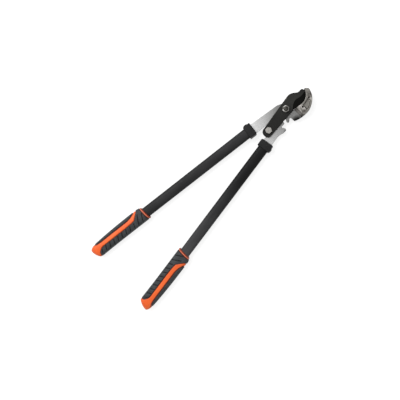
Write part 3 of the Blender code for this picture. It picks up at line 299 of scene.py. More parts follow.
class Look:
    """One material's nodes, built up layer by layer."""

    def __init__(self, name, colour, roughness, metallic=0.0, specular=0.5):
        material = bpy.data.materials.new(name)
        material.use_nodes = True
        material.diffuse_color = srgb(colour)
        self.tree = material.node_tree
        self.shader = feed(self.tree.nodes["Principled BSDF"], Base_Color=srgb(colour),
                           Roughness=roughness, Metallic=metallic, Specular_IOR_Level=specular)
        self.place = self.add("ShaderNodeTexCoord").outputs["Object"]

    def add(self, kind, **inputs):
        """New node, with its inputs filled."""
        return feed(self.tree.nodes.new(kind), **inputs)

    def noise(self, size, detail=3.0, stretch=(1, 1, 1), turn=0.0):
        """Noise with grains of a size in millimetres, longer where stretched."""
        mapping = self.add("ShaderNodeMapping", Vector=self.place,
                           Rotation=(0, 0, radians(turn)),
                           Scale=[1 / (size * MM * way) for way in stretch])
        return self.add("ShaderNodeTexNoise", Vector=mapping.outputs["Vector"], Scale=1.0,
                        Detail=detail).outputs["Fac"]

    def colour(self, factor, dark, light, low=0.35, high=0.65):
        """Colour that runs from dark to light with a factor."""
        ramp = self.add("ShaderNodeValToRGB", Fac=factor)
        for end, position, shade in zip(ramp.color_ramp.elements, (low, high), (dark, light)):
            end.position = position
            end.color = srgb(shade)
        return ramp.outputs["Color"]

    def paint(self, colour):
        """Send a colour to the shader."""
        feed(self.shader, Base_Color=colour)

    def mix(self, factor, first, second, low=0.0, high=1.0):
        """Blend of two colours, as a factor runs from low to high."""
        blend = self.add("ShaderNodeMix")
        blend.data_type = "RGBA"
        feed(blend, Factor=self.ranged(factor, low, high, 0.0, 1.0), A=first, B=second)
        return blend.outputs["Result"]

    def near(self, places, reach):
        """1 within the inner reach of some places, 0 beyond the outer reach."""
        inner, outer = reach
        total = None
        for place in places:
            gap = self.add("ShaderNodeVectorMath")
            gap.operation = "DISTANCE"
            gap.inputs[1].default_value = [value * MM for value in place]
            self.tree.links.new(self.place, gap.inputs[0])
            share = self.ranged(gap.outputs["Value"], inner * MM, outer * MM, 1.0, 0.0)
            total = share if total is None else larger(self.tree, total, share)
        return total

    def spotted(self, colour, over, spots, core):
        """Colour with another over it in spots, which fade beyond their core."""
        for place, reach in spots:
            colour = self.mix(self.near([place], (core * reach, reach)), colour, over)
        return colour

    def hollow(self):
        """Painted shade, from 0 to 1, deepest in grooves, seams and pockets, as the mesh says."""
        reader = self.add("ShaderNodeAttribute")
        reader.attribute_name = "hollow"
        return reader.outputs["Fac"]

    def ranged(self, factor, low, high, least, most):
        """Factor carried from one range to another."""
        return self.add("ShaderNodeMapRange", Value=factor, From_Min=low, From_Max=high,
                        To_Min=least, To_Max=most).outputs["Result"]

    def roughen(self, factor, least, most):
        """Roughness that varies with a factor."""
        feed(self.shader, Roughness=self.ranged(factor, 0.3, 0.7, least, most))

    def bump(self, factor, depth, strength):
        """Relief of a depth in millimetres, laid over what is there."""
        relief = self.add("ShaderNodeBump", Strength=strength, Distance=depth * MM, Height=factor)
        for link in self.shader.inputs["Normal"].links:
            feed(relief, Normal=link.from_socket)
        feed(self.shader, Normal=relief.outputs["Normal"])


def satin_steel(name, level, shade_spots):
    """Blasted steel of the plates, with painted shade: darker round the pivot and near black in
    spots.
    """
    look = Look(name, (160, 160, 160), 0.42, metallic=1.0)
    cloud = look.noise(22, detail=4)
    lines = look.noise(0.5, detail=2, stretch=(1, 40, 1))
    clean = look.colour(cloud, [level - 5] * 3, [level + 5] * 3)
    streaks = look.colour(lines, [level - 8] * 3, [level + 8] * 3)
    # Darker steel round the pivot: painted shade.
    pivot_shade = look.colour(lines, (98, 98, 97), (112, 112, 111))
    colour = look.mix(cloud, clean, streaks, 0.4, 0.6)
    colour = look.mix(look.near([PLATE_SHADE_PLACE], PLATE_SHADE_REACH), colour, pivot_shade)
    # Near-black spots over the plate steel: painted shade.
    look.paint(look.spotted(colour, srgb((14, 14, 13)), shade_spots, SHADE_CORE))
    look.roughen(look.noise(3, detail=5), 0.38, 0.5)
    look.bump(lines, 0.01, 0.5)
    look.bump(look.noise(0.35, detail=2), 0.02, 0.6)


def screw_spots(steps):
    """Spots on the casting's face, each a step away from a screw."""
    return [((x + across, y + along, ANVIL_TOP), reach)
            for (x, y), (across, along, reach) in zip(screw_places(), steps)]


def cast_steel():
    """Blasted casting with painted highlights and painted shade in spots, and painted shade in its
    pockets and at its foot.
    """
    look = Look("cast steel", (140, 138, 132), 0.45, metallic=0.9)
    patches = look.noise(9, detail=4)
    grains = look.noise(1.2, detail=4)
    clean = look.colour(grains, (105, 104, 99), (121, 119, 114), 0.3, 0.7)
    dull = look.colour(grains, (94, 91, 87), (110, 106, 102), 0.3, 0.7)
    # Lighter tone for the spots: painted highlights.
    highlight_tone = look.colour(grains, (144, 141, 137), (166, 162, 158), 0.3, 0.7)
    # Dark tone from the mesh's hollow attribute: painted shade in pockets, on the ramp and round
    # the screws.
    painted_shade = look.colour(grains, (56, 52, 48), (72, 67, 62))
    colour = look.mix(patches, dull, clean, 0.36, 0.6)
    colour = look.spotted(colour, highlight_tone, [*screw_spots(HIGHLIGHT_STEPS), *HIGHLIGHT_SPOTS], SPOT_CORE)
    # Darker spots by the screws: painted shade.
    colour = look.spotted(colour, srgb((70, 67, 64)), screw_spots(SHADE_STEPS), SPOT_CORE)
    colour = look.mix(look.hollow(), colour, painted_shade)
    # Near-black at the foot: painted shade.
    foot_shade = look.near(FOOT_SHADE, FOOT_SHADE_REACH)
    look.paint(look.mix(foot_shade, colour, srgb((22, 21, 20)), 0.0, 0.9))
    look.roughen(grains, 0.36, 0.55)
    look.bump(look.noise(3.5, detail=4), 0.12, 0.4)
    look.bump(look.noise(0.6), 0.05, 0.6)


def zinc_plate(name, base, low, high, highlight_shades=None):
    """Zinc with handling marks; on the pivot nut, painted highlights in spots."""
    look = Look(name, base, 0.3, metallic=1.0)
    marks = look.noise(2.5, detail=5)
    colour = look.colour(marks, low, high)
    if highlight_shades:
        # Lighter zinc in spots: painted highlights.
        highlight_mask = look.near(NUT_HIGHLIGHTS, NUT_HIGHLIGHT_REACH)
        colour = look.mix(highlight_mask, colour, look.colour(marks, *highlight_shades))
    look.paint(colour)
    look.roughen(marks, 0.26, 0.42)
    look.bump(look.noise(0.5), 0.02, 0.5)


def screw_steel():
    """Zinc of the anvil screws, painted black at the ends that show, as shade in their holes."""
    look = Look("screw steel", (150, 148, 143), 0.35, metallic=1.0)
    marks = look.noise(1.5, detail=4)
    plated = look.colour(marks, (143, 141, 136), (163, 161, 156))
    # Black at the screw ends in their holes: painted shade.
    ends = look.near([(x, y, ANVIL_TOP) for x, y in screw_places()], SCREW_SHADE_REACH)
    look.paint(look.mix(ends, plated, srgb((12, 12, 11))))
    look.roughen(marks, 0.3, 0.45)
    look.bump(look.noise(0.4), 0.02, 0.5)


def blade_coating():
    """Satin black non-stick coating, paler in a broad patch over the plates."""
    look = Look("blade coating", (24, 24, 22), 0.42, specular=0.15)
    cloud = look.noise(14, detail=4)
    plain_tone = look.colour(cloud, (14, 14, 12), (20, 20, 18))
    lighter = look.colour(cloud, (31, 31, 29), (40, 40, 37))
    look.paint(look.mix(look.near([BLADE_PALE_PLACE], BLADE_PALE_REACH), plain_tone, lighter))
    look.roughen(look.noise(2, detail=5), 0.36, 0.52)
    look.bump(look.noise(0.4, detail=2), 0.02, 0.6)


def shaded_bevel():
    """Ground face of the blade with fine lines across, dark as painted shade."""
    look = Look("ground bevel", (8, 8, 6), 0.34, specular=0.06)
    lines = look.noise(0.35, detail=2, stretch=(60, 1, 1), turn=-12)
    look.paint(look.colour(lines, (5, 5, 4), (12, 12, 10)))
    look.roughen(lines, 0.28, 0.42)
    look.bump(lines, 0.008, 0.6)


def powder_coat(name, head, grip):
    """Black powder coat with painted light and shade, from one grey by the head to another by the
    grip.
    """
    look = Look(name, (26, 26, 27), 0.45, specular=0.13)
    dust = look.noise(18, detail=6, stretch=(1, 3, 1))
    shades = [look.colour(dust, *[(level, level, level + 1)
                                  for level in (middle - spread, middle + spread)])
              for middle, spread in ((grip, 6), (head, 4))]
    look.paint(look.mix(look.near([LINK_PLACE], COAT_REACH), *shades))
    look.roughen(look.noise(5, detail=5), 0.42, 0.54)
    look.bump(look.noise(0.9, detail=2), 0.03, 0.5)


def black_moulding():
    """Textured black plastic of the collars."""
    look = Look("black moulding", (26, 26, 27), 0.45, specular=0.15)
    cloud = look.noise(8, detail=5)
    look.paint(look.colour(cloud, (16, 16, 17), (26, 26, 27)))
    look.roughen(cloud, 0.4, 0.55)
    look.bump(look.noise(0.35), 0.05, 0.7)


def black_rubber():
    """Soft grip rubber, greyed where hands rub it, with painted shade in its grooves and along its
    edges.
    """
    look = Look("black rubber", (41, 43, 45), 0.55, specular=0.25)
    lighter = look.noise(12, detail=6)
    colour = look.colour(lighter, (43, 45, 47), (60, 63, 65))
    look.paint(look.mix(look.hollow(), colour, srgb((12, 13, 14))))
    look.roughen(lighter, 0.48, 0.66)
    look.bump(look.noise(0.5), 0.06, 0.7)


def orange_moulding():
    """Smooth orange plastic, with a painted highlight at the rings and painted shade, brown, in the
    seams.
    """
    look = Look("orange moulding", (238, 100, 38), 0.38, specular=0.3)
    flow = look.noise(16, stretch=(1, 3, 1))
    colour = look.colour(flow, (234, 95, 35), (245, 110, 48))
    # Paler orange round the rings: painted highlight.
    ring_highlight = look.colour(flow, (226, 122, 86), (236, 136, 100))
    turn, reach = radians(HANDLE_SPLAY), GRIP_START + RING_LENGTH / 2
    rings = [(side * (HANDLE_START_X + reach * sin(turn)), HANDLE_START_Y - reach * cos(turn),
              MID_HEIGHT) for side in (-1, 1)]
    colour = look.mix(look.near(rings, RING_HIGHLIGHT_REACH), colour, ring_highlight)
    # Brown where the hollow attribute is high: painted shade in the seams and ring grooves.
    look.paint(look.mix(look.hollow(), colour, srgb((138, 50, 27))))
    look.roughen(look.noise(4, detail=4), 0.33, 0.46)
    look.bump(look.noise(0.6), 0.015, 0.5)


def grey_filler():
    """Plain grey plastic inside the tube's mouth."""
    look = Look("grey filler", (120, 120, 120), 0.6)
    look.paint(look.colour(look.noise(3), (110, 110, 110), (128, 128, 128)))


def add_object(name, data):
    """New object in the scene."""
    made = bpy.data.objects.new(name, data)
    bpy.context.scene.collection.objects.link(made)
    return made


def build(name, points, faces, sharp=SMOOTH_ANGLE, hollows=None):
    """Object from points in millimetres, welded and shaded."""
    mesh = bpy.data.meshes.new(name)
    mesh.from_pydata([[value * MM for value in point] for point in points], [], faces)
    if hollows is not None:
        layer = mesh.attributes.new("hollow", "FLOAT", "POINT")
        layer.data.foreach_set("value", np.asarray(hollows, np.float32))
    tidy(mesh, sharp)
    return add_object(name, mesh)


def tidy(mesh, sharp):
    """Clear a mesh of loose and doubled points, turn its faces out and smooth it."""
    shape = bmesh.new()
    shape.from_mesh(mesh)
    loose = [vert for vert in shape.verts if not vert.link_faces]
    bmesh.ops.delete(shape, geom=loose, context="VERTS")
    bmesh.ops.remove_doubles(shape, verts=shape.verts, dist=0.001 * MM)
    bmesh.ops.recalc_face_normals(shape, faces=shape.faces)
    shape.to_mesh(mesh)
    shape.free()
    mesh.shade_smooth()
    mesh.set_sharp_from_angle(angle=radians(sharp))


def bands(rows, size):
    """Faces between closed rows of equally many points."""
    return [(row * size + here, row * size + beside, (row + 1) * size + beside,
             (row + 1) * size + here) for row in range(rows - 1)
            for here, beside in zip(range(size), [*range(1, size), 0])]


def loft(name, rings, capped=True, hollows=None):
    """Skin through rings of equally many points."""
    size = len(rings[0])
    points = [point for ring in rings for point in ring]
    faces = bands(len(rings), size)
    if capped:
        faces.append(tuple(range(size)))
        faces.append(tuple(range((len(rings) - 1) * size, len(rings) * size)))
    return build(name, points, faces, hollows=hollows)


def circle(x, y, radius, sides, turn=0.0):
    """Round loop, counter-clockwise from an angle in degrees."""
    turns = [radians(turn) + 2 * pi * step / sides for step in range(sides)]
    return [(x + radius * cos(turn), y + radius * sin(turn)) for turn in turns]


def turned(name, profile, x=0, y=0):
    """Solid of revolution about an upright axis, from (radius, height) pairs."""
    return loft(name, [[(*place, height) for place in circle(x, y, radius, ROUND_SIDES)]
                       for radius, height in profile])


def prism(name, loop, low, high):
    """Straight solid over a flat outline."""
    return loft(name, [[(x, y, low) for x, y in loop], [(x, y, high) for x, y in loop]])


def sheet(name, outer, inner, faces, sharp, hollows):
    """Closed solid between two sheets of points that share their faces."""
    outer, inner = list(outer), list(inner)
    count = len(outer)
    hollows = np.concatenate([hollows, np.ones(count)])
    edges = {(here, face[(index + 1) % len(face)]) for face in faces
             for index, here in enumerate(face)}
    walls = [(there, here, count + here, count + there) for here, there in edges
             if (there, here) not in edges]
    back = [[count + index for index in reversed(face)] for face in faces]
    return build(name, outer + inner, list(faces) + back + walls, sharp, hollows)


def apply_modifiers(piece):
    """Apply a piece's modifiers."""
    bpy.context.view_layer.update()
    graph = bpy.context.evaluated_depsgraph_get()
    piece.data = bpy.data.meshes.new_from_object(piece.evaluated_get(graph))
    piece.modifiers.clear()


def combine(piece, other, operation, sharp=CUT_ANGLE):
    """Cut, join or intersect a piece with another, which is used up."""
    modifier = piece.modifiers.new(operation, "BOOLEAN")
    modifier.operation = operation
    modifier.solver = "EXACT"
    modifier.object = other
    apply_modifiers(piece)
    bpy.data.objects.remove(other, do_unlink=True)
    tidy(piece.data, sharp)


def soften(piece, width):
    """Round a piece's sharp edges."""
    modifier = piece.modifiers.new("soft edges", "BEVEL")
    modifier.width = width * MM
    modifier.segments = 6
    modifier.limit_method = "ANGLE"
    modifier.angle_limit = radians(50)
    apply_modifiers(piece)
    tidy(piece.data, SMOOTH_ANGLE)


def arc(x, y, radius, start, end):
    """Points of an arc, both its ends included."""
    steps = max(1, ceil(abs(end - start) / ARC_STEP))
    turns = [radians(start + (end - start) * step / steps) for step in range(steps + 1)]
    return [(x + radius * cos(turn), y + radius * sin(turn)) for turn in turns]


def rounded(corners):
    """Outline with filleted corners (x, y, radius); a plain (x, y) stays."""
    points = []
    count = len(corners)
    for index, corner in enumerate(corners):
        here = Vector(corner[:2])
        if len(corner) < 3:
            points.append(tuple(here))
            continue
        before = Vector(corners[index - 1][:2]) - here
        after = Vector(corners[(index + 1) % count][:2]) - here
        half = before.angle(after) / 2
        reach = min(corner[2] / tan(half), 0.48 * before.length, 0.48 * after.length)
        middle = (before.normalized() + after.normalized()).normalized()
        centre = here + middle * (reach * tan(half)) / sin(half)
        first = here + before.normalized() * reach - centre
        turn = degrees(pi - 2 * half)
        sign = 1 if before.cross(after) < 0 else -1
        steps = max(1, ceil(turn / (2 * ARC_STEP)))
        for step in range(steps + 1):
            spin = Matrix.Rotation(radians(sign * turn * step / steps), 2)
            points.append(tuple(centre + spin @ first))
    return points


def shrink(loop, depth):
    """Smooth counter-clockwise outline, set in from itself."""
    points = np.array(loop)
    along = np.roll(points, -1, axis=0) - np.roll(points, 1, axis=0)
    inward = np.stack([-along[:, 1], along[:, 0]], axis=1)
    inward /= np.linalg.norm(inward, axis=1, keepdims=True)
    return [tuple(point) for point in points + depth * inward]


def inside(points, loop):
    """Distance of each point to a closed outline, positive inside it."""
    start = np.array(loop, float)
    side = np.roll(start, -1, axis=0) - start
    offset = points[:, None] - start[None]
    share = np.clip((offset * side).sum(2) / np.maximum((side ** 2).sum(1), 1e-12), 0, 1)
    gap = np.sqrt(((offset - share[..., None] * side) ** 2).sum(2)).min(1)
    end = start + side
    level = points[:, None, 1]
    crossed = (start[:, 1] > level) != (end[:, 1] > level)
    rise = np.where(side[:, 1] == 0, 1, side[:, 1])
    meeting = start[:, 0] + (level - start[:, 1]) * side[:, 0] / rise
    within = (crossed & (points[:, None, 0] < meeting)).sum(1) % 2 == 1
    return np.where(within, gap, -gap)


def smooth(value, low, high):
    """Soft step from 0 to 1 between two values."""
    share = np.clip((value - low) / (high - low), 0, 1)
    return share * share * (3 - 2 * share)


def relief(name, outline, loops, top, bottom, hollow, spacing):
    """Solid between two height functions over an outline, creased along loops."""
    points, edges = [], []
    for loop in [outline] + loops:
        first, size = len(points), len(loop)
        points += [Vector(point) for point in loop]
        edges += [(first + i, first + (i + 1) % size) for i in range(size)]
    low, high = np.min(outline, axis=0), np.max(outline, axis=0)
    grid = np.array([(x + spacing / 2 * (row % 2), y)
                     for row, y in enumerate(np.arange(low[1], high[1], spacing * 0.87))
                     for x in np.arange(low[0], high[0], spacing)])
    grid = grid[inside(grid, outline) > spacing / 2]
    points += [Vector(point) for point in grid]
    flat, _, cells, *_ = delaunay_2d_cdt(points, edges, [], 0, 1e-5)
    flat = np.array([tuple(point) for point in flat])
    centres = np.array([flat[list(cell)].mean(axis=0) for cell in cells])
    kept = [cell for cell, depth in zip(cells, inside(centres, outline)) if depth > 0]
    front, back = [[(*place, level) for place, level in zip(flat, side(flat))]
                   for side in (top, bottom)]
    return sheet(name, front, back, kept, SMOOTH_ANGLE, hollow(flat))


def dress(piece, body, slot, finish, *nodes):
    """Give a piece its finish and body, and hide the solids it replaces. The slot is not used."""
    piece.data.materials.clear()
    piece.data.materials.append(bpy.data.materials[finish])
    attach(piece, body)
    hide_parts(*nodes)


def on_handle(piece, side):
    """Move a piece made along a handle's own axes to that handle."""
    turn = Matrix.Rotation(radians(side * HANDLE_SPLAY), 4, "Z")
    place = Matrix.Translation((side * HANDLE_START_X * MM, HANDLE_START_Y * MM, MID_HEIGHT * MM))
    flip = Matrix.Diagonal((side, -1, 1, 1))
    piece.data.transform(place @ turn @ flip)
    tidy(piece.data, SMOOTH_ANGLE)
    return piece


def tube_ring(inset, along):
    """Oval ring of the tube, set in from its surface."""
    power = 2 / TUBE_SQUARENESS
    return [((TUBE_HALF_WIDTH - inset) * copysign(abs(across) ** power, across), along,
             (TUBE_HALF_DEPTH - inset) * copysign(abs(up) ** power, up))
            for across, up in circle(0, 0, 1, TUBE_SIDES)]


def make_tube(name):
    """Oval tube with its open bore."""
    places = ((TUBE_WALL, 0), (0, 0), (0, TUBE_END), (TUBE_WALL, TUBE_END), (TUBE_WALL, 0))
    return loft(name, [tube_ring(*place) for place in places], capped=False)


def make_collar(name):
    """Moulded collar with its lug, tube bore and plate slot."""
    half = TUBE_HALF_WIDTH + COLLAR_WALL
    depth = TUBE_HALF_DEPTH + COLLAR_WALL
    lug = half + COLLAR_LUG
    corner = COLLAR_CORNER
    plan = rounded([
        (half, COLLAR_TOP, corner), (half, COLLAR_LUG_START - corner),
        (lug, COLLAR_LUG_START + corner, corner), (lug, COLLAR_LUG_END, corner),
        (half, COLLAR_LUG_END + corner), (half, COLLAR_BOTTOM, corner),
        (-half, COLLAR_BOTTOM, corner), (-half, COLLAR_TOP, COLLAR_INNER_CORNER)])
    collar = prism(name, plan, -depth, depth)
    soften(collar, COLLAR_EDGES)
    bore = loft("bore", [tube_ring(-SEAT_GAP, -SEAT_GAP), tube_ring(-SEAT_GAP, COLLAR_BOTTOM + 5)])
    combine(collar, bore, "DIFFERENCE", SMOOTH_ANGLE)
    left, right = -PLATE_INNER - SEAT_GAP, PLATE_OUTER + SEAT_GAP
    tall = (PLATE_TOP - PLATE_BOTTOM) / 2 + SEAT_GAP
    mouth = [(left, COLLAR_TOP - 5), (right, COLLAR_TOP - 5), (right, 1), (left, 1)]
    combine(collar, prism("mouth", mouth, -tall, tall), "DIFFERENCE", SMOOTH_ANGLE)
    return collar


def grip_widths(along):
    """Inner and outer half widths of the grip down its length."""
    share = np.clip(along / RUBBER_END, 0, 1)
    inner = GRIP_INNER + GRIP_INNER_FLARE * share ** 4
    outer = GRIP_OUTER - GRIP_OUTER_TAPER * share ** 3
    outer = outer - GRIP_SHOULDER * np.exp(-np.maximum(along, 0) / GRIP_SHOULDER_RUN)
    return inner, outer


def core_recess(along):
    """Depth of the core below the grip's form, which fades at the end cap."""
    faded = np.clip((along - RUBBER_END + STRIP_FLARE) / STRIP_FLARE, 0, 1)
    return RUBBER_DEPTH - (RUBBER_DEPTH - CAP_INSET) * faded


def ring_lean(along):
    """Lean of the grip's sections, which fades below the ring."""
    share = (along - RUBBER_START) / RING_LEAN_RUN
    return tan(radians(RING_LEAN)) * np.clip(1 - share, 0, 1)


def grip_surface(along, turn, inset, scale=1.0, skew=0.0):
    """Points on the grip's form: arrays of across, along and up."""
    inner, outer = grip_widths(along)
    power = 2 / GRIP_SQUARENESS
    side, rise = np.cos(turn), np.sin(turn)
    reach = (np.where(side > 0, outer, inner) - inset) * scale
    across = reach * np.sign(side) * np.abs(side) ** power + skew * (1 - scale)
    up = (GRIP_HALF_DEPTH - inset) * scale * np.sign(rise) * np.abs(rise) ** power
    return across, GRIP_START + along + ring_lean(along) * across, up


def grip_grid(places):
    """Distances down the grip and angles round it."""
    turn = 2 * pi * np.arange(GRIP_COLUMNS) / GRIP_COLUMNS
    return np.broadcast_arrays(np.asarray(places, float)[:, None], turn[None])


def plan_depth(across, along, plan):
    """Depth of the grip's points inside a plan's outline."""
    spots = np.stack([across.ravel(), along.ravel()], axis=1)
    return inside(spots, plan).reshape(across.shape)


def make_core(name):
    """Orange core: beaded ring, raised strip and skewed cap."""
    head = len(RING_PROFILE)
    body = list(np.arange(RUBBER_START + 0.8, RUBBER_END + 0.1, GRIP_ROW * 1.5))
    along, turn = grip_grid([place for place, _ in RING_PROFILE] + body)
    inset = np.zeros_like(along)
    inset[:head] = np.array([depth for _, depth in RING_PROFILE])[:, None]
    # Hollow values on the core are painted shade in the ring's grooves and along the seams.
    hollow = smooth(inset, 0.15, 0.6)
    across = grip_surface(along, turn, 0)[0]
    palm, pad = [-plan_depth(across, along, plan)[head:] for plan in (palm_plan(), pad_plan())]
    clear = np.minimum(palm, pad)
    recess = core_recess(along[head:])
    crown = np.minimum(STRIP_CROWN, recess - CAP_INSET + 0.1) * smooth(clear, *STRIP_FLANK)
    valley = SEAM_DEPTH * (1 - smooth(clear, 0.4, 1.3)) * smooth(clear, -2.0, -1.2)
    inset[head:] = recess - crown + valley
    hollow[head:] = 1 - np.minimum(smooth(palm, *PALM_SEAM), smooth(pad, *PAD_SEAM))
    rows = [np.stack(row, axis=1) for row in zip(*grip_surface(along, turn, inset))]
    for step in range(1, CAP_ROWS + 1):
        share = CAP_END * sin(pi / 2 * step / CAP_ROWS)
        scale = (1 - share ** 1.5) ** 0.7 * (1 - 0.45 * smooth(share / CAP_END, 0.985, 1.0))
        place, turn = grip_grid([RUBBER_END + share * (GRIP_LENGTH - RUBBER_END)])
        ring = grip_surface(place, turn, CAP_INSET, scale, CAP_SKEW)
        rows.append(np.stack([part[0] for part in ring], axis=1))
    hollows = np.zeros(len(rows) * GRIP_COLUMNS)
    hollows[:hollow.size] = hollow.ravel()
    return loft(name, [[tuple(point) for point in row] for row in rows], hollows=hollows)


def palm_plan():
    """Plan of the palm: band, branch edge, strip edge and flared end."""
    edge = -STRIP_INNER
    end = RUBBER_END
    return rounded([
        (-PLAN_SIDE, RUBBER_START), (PLAN_SIDE, RUBBER_START), (PLAN_SIDE, BRANCH_START),
        (0.8 * GRIP_OUTER, BRANCH_START, 2), (edge + STRIP_EASE, BRANCH_END, 2.5),
        (edge + STRIP_EASE / 3, 1.3 * BRANCH_END, 60), (edge, 2 * BRANCH_END, 60),
        (edge, end - STRIP_FLARE, 10), (edge - STRIP_EASE / 2, end - 0.8 * STRIP_FLARE, 6),
        (edge - 3 * STRIP_EASE, end - 0.35 * STRIP_FLARE, 6), (-PLAN_SIDE, end)])


def pad_plan():
    """Plan of the outer pad."""
    start = BRANCH_START + BRANCH_WIDTH
    end = RUBBER_END
    return rounded([
        (PLAN_SIDE, start), (PLAN_SIDE, end), (0.85 * GRIP_OUTER, end, 2),
        (STRIP_OUTER + STRIP_EASE / 3, end - STRIP_FLARE / 2, 8),
        (STRIP_OUTER, end - STRIP_FLARE, 30), (STRIP_OUTER, start + 3 * BRANCH_WIDTH, 30),
        (STRIP_OUTER + STRIP_EASE, start + 1.5 * BRANCH_WIDTH, 6),
        (0.93 * GRIP_OUTER, start + BRANCH_WIDTH / 3, 2)])


def groove_depths(across, along):
    """Depth of the palm's slanting grooves at each point."""
    right = -STRIP_INNER - GROOVE_MARGIN
    run = right + 1.3 * GRIP_INNER
    place = along - GROOVE_START - GROOVE_RISE * (right - across) / run - GROOVE_WIDTH / 2
    number = np.clip(np.round(place / GROOVE_SPACING), -1, GROOVE_COUNT - 1)
    off = np.abs(place - number * GROOVE_SPACING)
    extra = np.where(number < 0, FIRST_GROOVE_EXTRA, np.where(number < 1, SECOND_GROOVE_EXTRA, 0))
    fade = smooth(right + extra - across, 0, 1.2)
    fade = fade * smooth(across + GRIP_INNER, 0.3, GROOVE_FLANK)
    valley = 1 - smooth(off, GROOVE_WIDTH * 0.3, GROOVE_WIDTH * 0.66)
    shoulder = GROOVE_SHOULDER * np.exp(-(off / GROOVE_SHOULDER_RUN) ** 2)
    return fade * ((GROOVE_DEPTH - 0.3) * valley + shoulder)


def make_overmould(name):
    """Rubber skin with rounded edges: the grooved palm or the plain pad."""
    grooved = "palm" in name
    plan = palm_plan() if grooved else pad_plan()
    end = RUBBER_END - SEAT_GAP
    along, turn = grip_grid(np.linspace(RUBBER_START - 0.2, end,
                                        int((end - RING_LENGTH) / GRIP_ROW) + 1))
    across = grip_surface(along, turn, 0)[0]
    depth = plan_depth(across, along, plan)
    recess = core_recess(along)
    rise = np.sin(np.pi / 2 * np.clip((depth + 0.2) / RUBBER_EDGES, 0, 1))
    inset = (recess + 0.6) * (1 - rise)
    # Hollow values here are painted shade: darker along the rubber's edges and in its grooves.
    hollow = 0.5 * (1 - rise)
    if grooved:
        grooves = groove_depths(across, along) * smooth(depth, 0.5, 2.0)
        inset = inset + np.minimum(grooves, recess - 0.4)
        hollow = np.maximum(hollow, 0.85 * smooth(grooves, 0.4, GROOVE_DEPTH - 0.4))
    outer = zip(*(part.ravel() for part in grip_surface(along, turn, inset)))
    inner = zip(*(part.ravel() for part in grip_surface(along, turn, recess + 0.9)))
    wanted = depth.ravel() > -1.0
    faces = [face for face in bands(*along.shape) if wanted[list(face)].any()]
    return sheet(name, outer, inner, faces, 60.0, hollow.ravel())


def heel_line():
    """Direction and length of the straight heel of the cutting edge."""
    span = Vector((EDGE_X - HEEL_X, EDGE_Y - HEEL_Y))
    lean = asin(EDGE_RADIUS / span.length)
    return atan2(span.y, span.x) - lean, sqrt(span.length ** 2 - EDGE_RADIUS ** 2)


def heel_point(offset, height):
    """Point of the heel line, set off from it, at a height."""
    direction, _ = heel_line()
    x = HEEL_X + offset * sin(direction)
    y = HEEL_Y - offset * cos(direction)
    return (x + (height - y) / tan(direction), height)


def face_arc(offset, start, end):
    """Arc that stands off the cutting edge by an offset."""
    return arc(EDGE_X, EDGE_Y, EDGE_RADIUS + offset, start, end)


def cutting_edge():
    """Cutting edge from heel to tip: x, y, outward direction and share of the run."""
    direction, reach = heel_line()
    edge = []
    for step in range(HEEL_STEPS):
        share = step / HEEL_STEPS
        edge.append((HEEL_X + reach * share * cos(direction),
                     HEEL_Y + reach * share * sin(direction),
                     direction - pi / 2, share / 2))
    bend = face_arc(0, heel_angle(), EDGE_END_ANGLE)
    for index, (x, y) in enumerate(bend):
        edge.append((x, y, atan2(y - EDGE_Y, x - EDGE_X), 0.5 + index / (len(bend) - 1) / 2))
    return edge


def make_blade(name):
    """Blade with its ground bevels and its long link arm."""
    tail_x, tail_y = LINK_X + TAIL_OFFSET, LINK_Y - TAIL_DROP
    half = TAIL_WIDTH / 2
    edge = cutting_edge()
    rim = [(x, y) for x, y, _, _ in edge]
    corners = list(BLADE_CORNERS)
    corners += [(tail_x + side * half, tail_y, half - 0.3) for side in (-1, 1)]
    body = rounded([rim[-1]] + corners + [rim[0]])[1:-1]
    line = []
    for x, y, outward, share in edge:
        run = (share + BEVEL_MARGIN) / (1 + 2 * BEVEL_MARGIN)
        width = BEVEL_WIDTH * sin(pi * run) ** BEVEL_FULLNESS
        line.append((x - width * cos(outward), y - width * sin(outward)))
    outer = body + rim
    face = body + line
    edges = [(rise, shrink(face, inset)) for rise, inset in BLADE_ROUNDING]
    middle = (BLADE_BOTTOM + BLADE_TOP) / 2
    levels = [(BLADE_BOTTOM + rise, loop) for rise, loop in edges]
    levels += [(middle + side * CUTTING_LAND / 2, outer) for side in (-1, 1)]
    levels += [(BLADE_TOP - rise, loop) for rise, loop in reversed(edges)]
    blade = loft(name, [[(x, y, z) for x, y in loop] for z, loop in levels])
    for x, y in ((0, 0), (LINK_X, LINK_Y)):
        bore = turned("bore", [(BORE_RADIUS, BLADE_TOP + 2), (BORE_RADIUS, BLADE_BOTTOM - 2)], x, y)
        combine(blade, bore, "DIFFERENCE", BEVEL_ANGLE)
    return blade


def mark_bevel(blade):
    """Give the ground faces of the blade their own dark material, painted shade."""
    blade.data.materials.append(bpy.data.materials["ground bevel"])
    for face in blade.data.polygons:
        place = Vector(face.center[:2]) / MM
        tilted = BEVEL_TILTS[0] < abs(face.normal.z) < BEVEL_TILTS[1]
        ahead = place.x > BEVEL_START[0] and place.y > BEVEL_START[1]
        near = (place - Vector((EDGE_X, EDGE_Y))).length < EDGE_RADIUS + BEVEL_BAND
        if tilted and ahead and near:
            face.material_index = 1


def anvil_back(angle, inset):
    """Point of the anvil's outer curve, set in from it."""
    taper, swell = ANVIL_FOOT_TAPER if angle < 0 else ANVIL_TAPER
    width = ANVIL_WIDTH - taper * angle + swell * angle ** 2
    radius = EDGE_RADIUS + width - inset
    turn = radians(angle)
    return (EDGE_X + radius * cos(turn), EDGE_Y + radius * sin(turn))


def anvil_back_angle(height, inset):
    """Angle of the outer curve's point at a height."""
    low, high = -70.0, 40.0
    for _ in range(50):
        middle = (low + high) / 2
        below = anvil_back(middle, inset)[1] < height
        low, high = (middle, high) if below else (low, middle)
    return low


